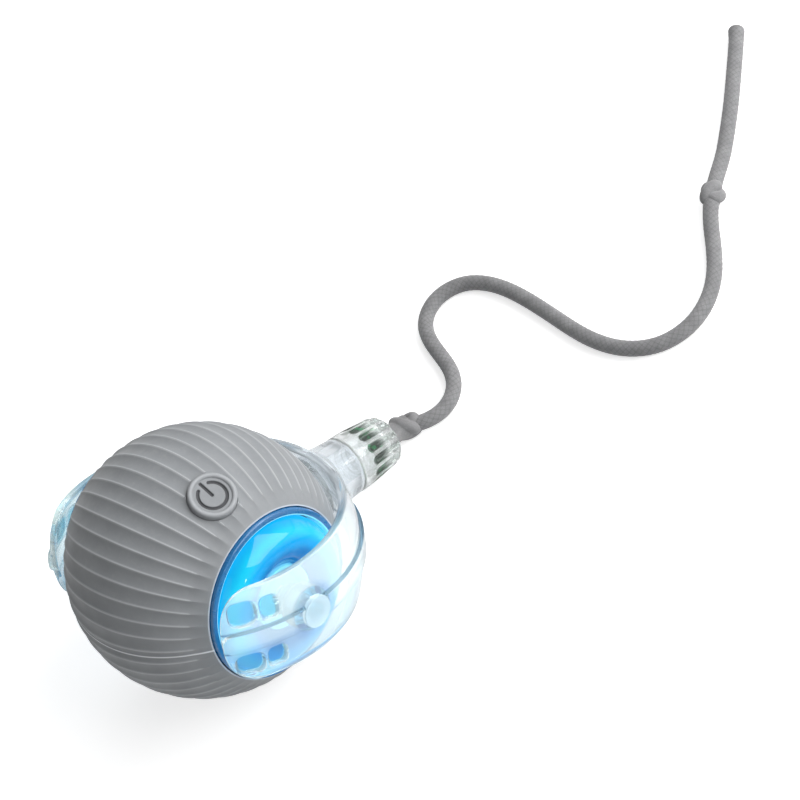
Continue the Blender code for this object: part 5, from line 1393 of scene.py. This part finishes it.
def rope_finish(name, middle, dark, light, has_braid=False):
    material, tree, shader = new_material(name, Specular_IOR_Level=0.2, Sheen_Weight=0.4,
                                          Sheen_Roughness=0.5)
    grain = effect(tree, moulded, Grain_Scale=7000.0, Patch_Scale=420.0)
    height = grain["Grain"]
    layers = [(patchy(tree, grain, 0.0, 0.35), light), (remap(tree, height, 0.35, 0.65, 0.25, 0.0), dark)]
    rough = remap(tree, height, 0.3, 0.7, 0.95, 0.80)
    if has_braid:
        # Painted shade: the rope is darker in the gaps between its strands.
        strand = calculate(tree, "ABSOLUTE", braid_waves(tree, "COSINE", math.pi))
        layers.append((times(tree, remap(tree, strand, 0.0, 0.35, 1.0, 0.0), 0.35), dark))
        yarn_lines = remap(tree, braid_waves(tree, "SINE", FULL_TURN * YARNS), -1.0, 1.0)
        height = calculate(tree, "ADD", height, yarn_lines)
    layers.append((times(tree, effect(tree, worn, Sharpness=0.52)["Edges"], 0.10), light))
    surface(shader, layered(tree, middle, *layers), rough, height, 0.5, 0.03 * MM)
    return material


knot_finish = rope_finish("grey_knot", *ROPE_COLOURS)
dress(rope_finish("grey_braid", *ROPE_COLOURS, has_braid=True), tail_rope)
dress(knot_finish, knot_one, knot_two)
# The knot inside the cap gets the painted-shade copy of the rope's finish.
dress(rope_finish("shaded_inside_knot", *SHADED_ROPE_COLOURS), knot_inside)

# %% [markdown]
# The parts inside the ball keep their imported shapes. Each kind gets the finish that such a part has:
# moulded plastic, lacquered board with its copper and solder, turned steel and brass, and the
# sleeved cell.


# %% Finishes of the parts inside
def shaded(colour, share, lift=0.0):
    return tuple(min(1.0, part * share + lift) for part in colour)


def moulded_plastic(name, colour, rough, grain_scale=6000.0):
    material, tree, shader = new_material(name, IOR=1.5)
    grain = effect(tree, moulded, Grain_Scale=grain_scale, Patch_Scale=150.0)
    toned = layered(tree, shaded(colour, 0.8), (grain["Patches"], colour),
                    (effect(tree, worn, Sharpness=0.54)["Edges"], shaded(colour, 1.5, 0.04)))
    surface(shader, toned, patchy(tree, grain, rough, rough + 0.12), grain["Grain"], 0.2, 0.02 * MM)
    return material


def turned_metal(name, colour, rough):
    """Bright metal with the fine rings that a lathe leaves round the axle's direction."""
    material, tree, shader = new_material(name, Metallic=1.0)
    wave = node(tree, "ShaderNodeTexWave", wave_type="BANDS", bands_direction="X")
    set_inputs(wave, {"Vector": place_in(tree), "Scale": 1800.0, "Distortion": 1.5})
    grain = effect(tree, moulded, Grain_Scale=5000.0, Patch_Scale=240.0)
    toned = layered(tree, shaded(colour, 0.75), (grain["Patches"], colour))
    surface(shader, toned, patchy(tree, grain, rough, rough + 0.15), wave.outputs["Fac"], 0.25, 0.02 * MM)
    return material


def lacquered_board(name):
    material, tree, shader = new_material(name, IOR=1.5, Coat_Roughness=0.1)
    tracks = node(tree, "ShaderNodeTexBrick")
    set_inputs(tracks, {"Vector": place_in(tree), "Scale": 420.0, "Mortar Size": 0.045,
                        "Color1": (0.012, 0.10, 0.035), "Color2": (0.016, 0.14, 0.05),
                        "Mortar": (0.10, 0.22, 0.06)})
    grain = effect(tree, moulded, Grain_Scale=4000.0, Patch_Scale=300.0)
    toned = layered(tree, tracks.outputs["Color"], (patchy(tree, grain, 0.0, 0.3), (0.02, 0.06, 0.03)))
    set_inputs(shader, {"Coat_Weight": patchy(tree, grain, 0.5, 0.9)})
    surface(shader, toned, patchy(tree, grain, 0.3, 0.45), tracks.outputs["Fac"], 0.3, 0.03 * MM)
    return material


PARTS_INSIDE = {
    "shell": moulded_plastic("shell_plastic", (0.27, 0.28, 0.29), 0.45),
    "skin": skin_finish,
    "bezel": bezel_finish,
    "lens": lens_finish,
    "clear": hub_finish,
    "board": lacquered_board("lacquered_board"),
    "steel": turned_metal("turned_steel", (0.60, 0.60, 0.62), 0.22),
    "brass": turned_metal("turned_brass", (0.62, 0.45, 0.18), 0.24),
    "gear": moulded_plastic("gear_plastic", (0.80, 0.80, 0.76), 0.35, 8000.0),
    "cell": moulded_plastic("cell_sleeve", (0.05, 0.12, 0.30), 0.30, 3000.0),
    "dark": moulded_plastic("switch_plastic", (0.03, 0.03, 0.035), 0.40),
    "rope": knot_finish,
    "inner_knot": knot_finish,
}
for part in frame["record"]["subparts"]:
    for slot in frame["nodes"][part["node"]].material_slots:
        slot.material = PARTS_INSIDE[part["material_slot"]]

# %% [markdown]
# ## The studio
# The photograph has a plain white background and soft light from above. For the camera the world is
# white, and the floor is white away from the object, while the lamps stay at a plain level, so the
# colours come out as they are written and the floor keeps a faint shadow. For rays that bounce off
# the object or pass its clear plastic, the floor is bright only near it, and the world darkens
# towards its top.

# %% Floor and world
FLOOR_SIZE = 6.0
FLOOR_CUTS = 8
WORLD_LIGHT = 0.22
SEEN_FLOOR = (0.30, 1.20, 0.62, 1.0)
BOUNCED_FLOOR = (0.22, 0.60, 0.28, 0.0)
BOUNCED_SKY = (0.15, 0.75, 1.0, 0.30)


def rays(tree):
    """Whether a ray comes from the camera, and whether it has bounced or passed clear plastic."""
    path = node(tree, "ShaderNodeLightPath").outputs
    return path["Is Camera Ray"], calculate(tree, "MAXIMUM", path["Is Glossy Ray"],
                                            path["Is Transmission Ray"])


bpy.ops.mesh.primitive_grid_add(x_subdivisions=FLOOR_CUTS, y_subdivisions=FLOOR_CUTS, size=FLOOR_SIZE,
                                location=(0.0, 0.0, 0.0))
floor = bpy.context.object
floor.name = "studio_floor"
floor_finish, tree, shader = new_material("white_floor", Base_Color=(0.86, 0.86, 0.86), Roughness=0.8,
                                          Specular_IOR_Level=0.1, Emission_Color=WHITE)
from_camera, bounced = rays(tree)
spot = node(tree, "ShaderNodeVectorMath", operation="LENGTH")
put(spot.inputs[0], place_in(tree))
away = spot.outputs["Value"]
put(shader.inputs["Emission Strength"],
    calculate(tree, "MAXIMUM", times(tree, from_camera, remap(tree, away, *SEEN_FLOOR)),
              times(tree, bounced, remap(tree, away, *BOUNCED_FLOOR))))
dress(floor_finish, floor)

world = bpy.data.worlds.new("studio_world")
bpy.context.scene.world = world
world.use_nodes = True
tree = world.node_tree
tree.nodes.clear()
background = node(tree, "ShaderNodeBackground")
from_camera, bounced = rays(tree)
sky = remap(tree, split(tree, place_in(tree, "Generated"))["Z"], *BOUNCED_SKY)
strength = calculate(tree, "MAXIMUM", times(tree, bounced, sky), WORLD_LIGHT)
set_inputs(background, {"Color": WHITE, "Strength": calculate(tree, "MAXIMUM", strength, from_camera)})
put(node(tree, "ShaderNodeOutputWorld").inputs["Surface"], background.outputs["Background"])
bpy.context.scene.view_settings.view_transform = "Standard"
print("floor", FLOOR_SIZE, "m wide")

# %% Lamps
LAMPS = (
    ("soft_key", (0.42, 0.33, 0.35), 0.62, 4.4),
    ("back_fill", (-0.16, 0.60, 0.50), 0.50, 1.7),
    ("front_fill", (0.10, -0.45, 0.50), 0.40, 0.18),
    ("lens_glint", (0.53, -0.10, 0.29), 0.03, 0.10),
)
for name, place, size, power in LAMPS:
    lamp_data = bpy.data.lights.new(name, "AREA")
    lamp_data.shape = "SQUARE"
    lamp_data.size = size
    lamp_data.energy = power
    lamp = bpy.data.objects.new(name, lamp_data)
    bpy.context.scene.collection.objects.link(lamp)
    aim = (CENTRE - Vector(place)).to_track_quat("-Z", "Y").to_matrix().to_4x4()
    lamp.matrix_world = Matrix.Translation(place) @ aim
print("lamps", len(LAMPS))
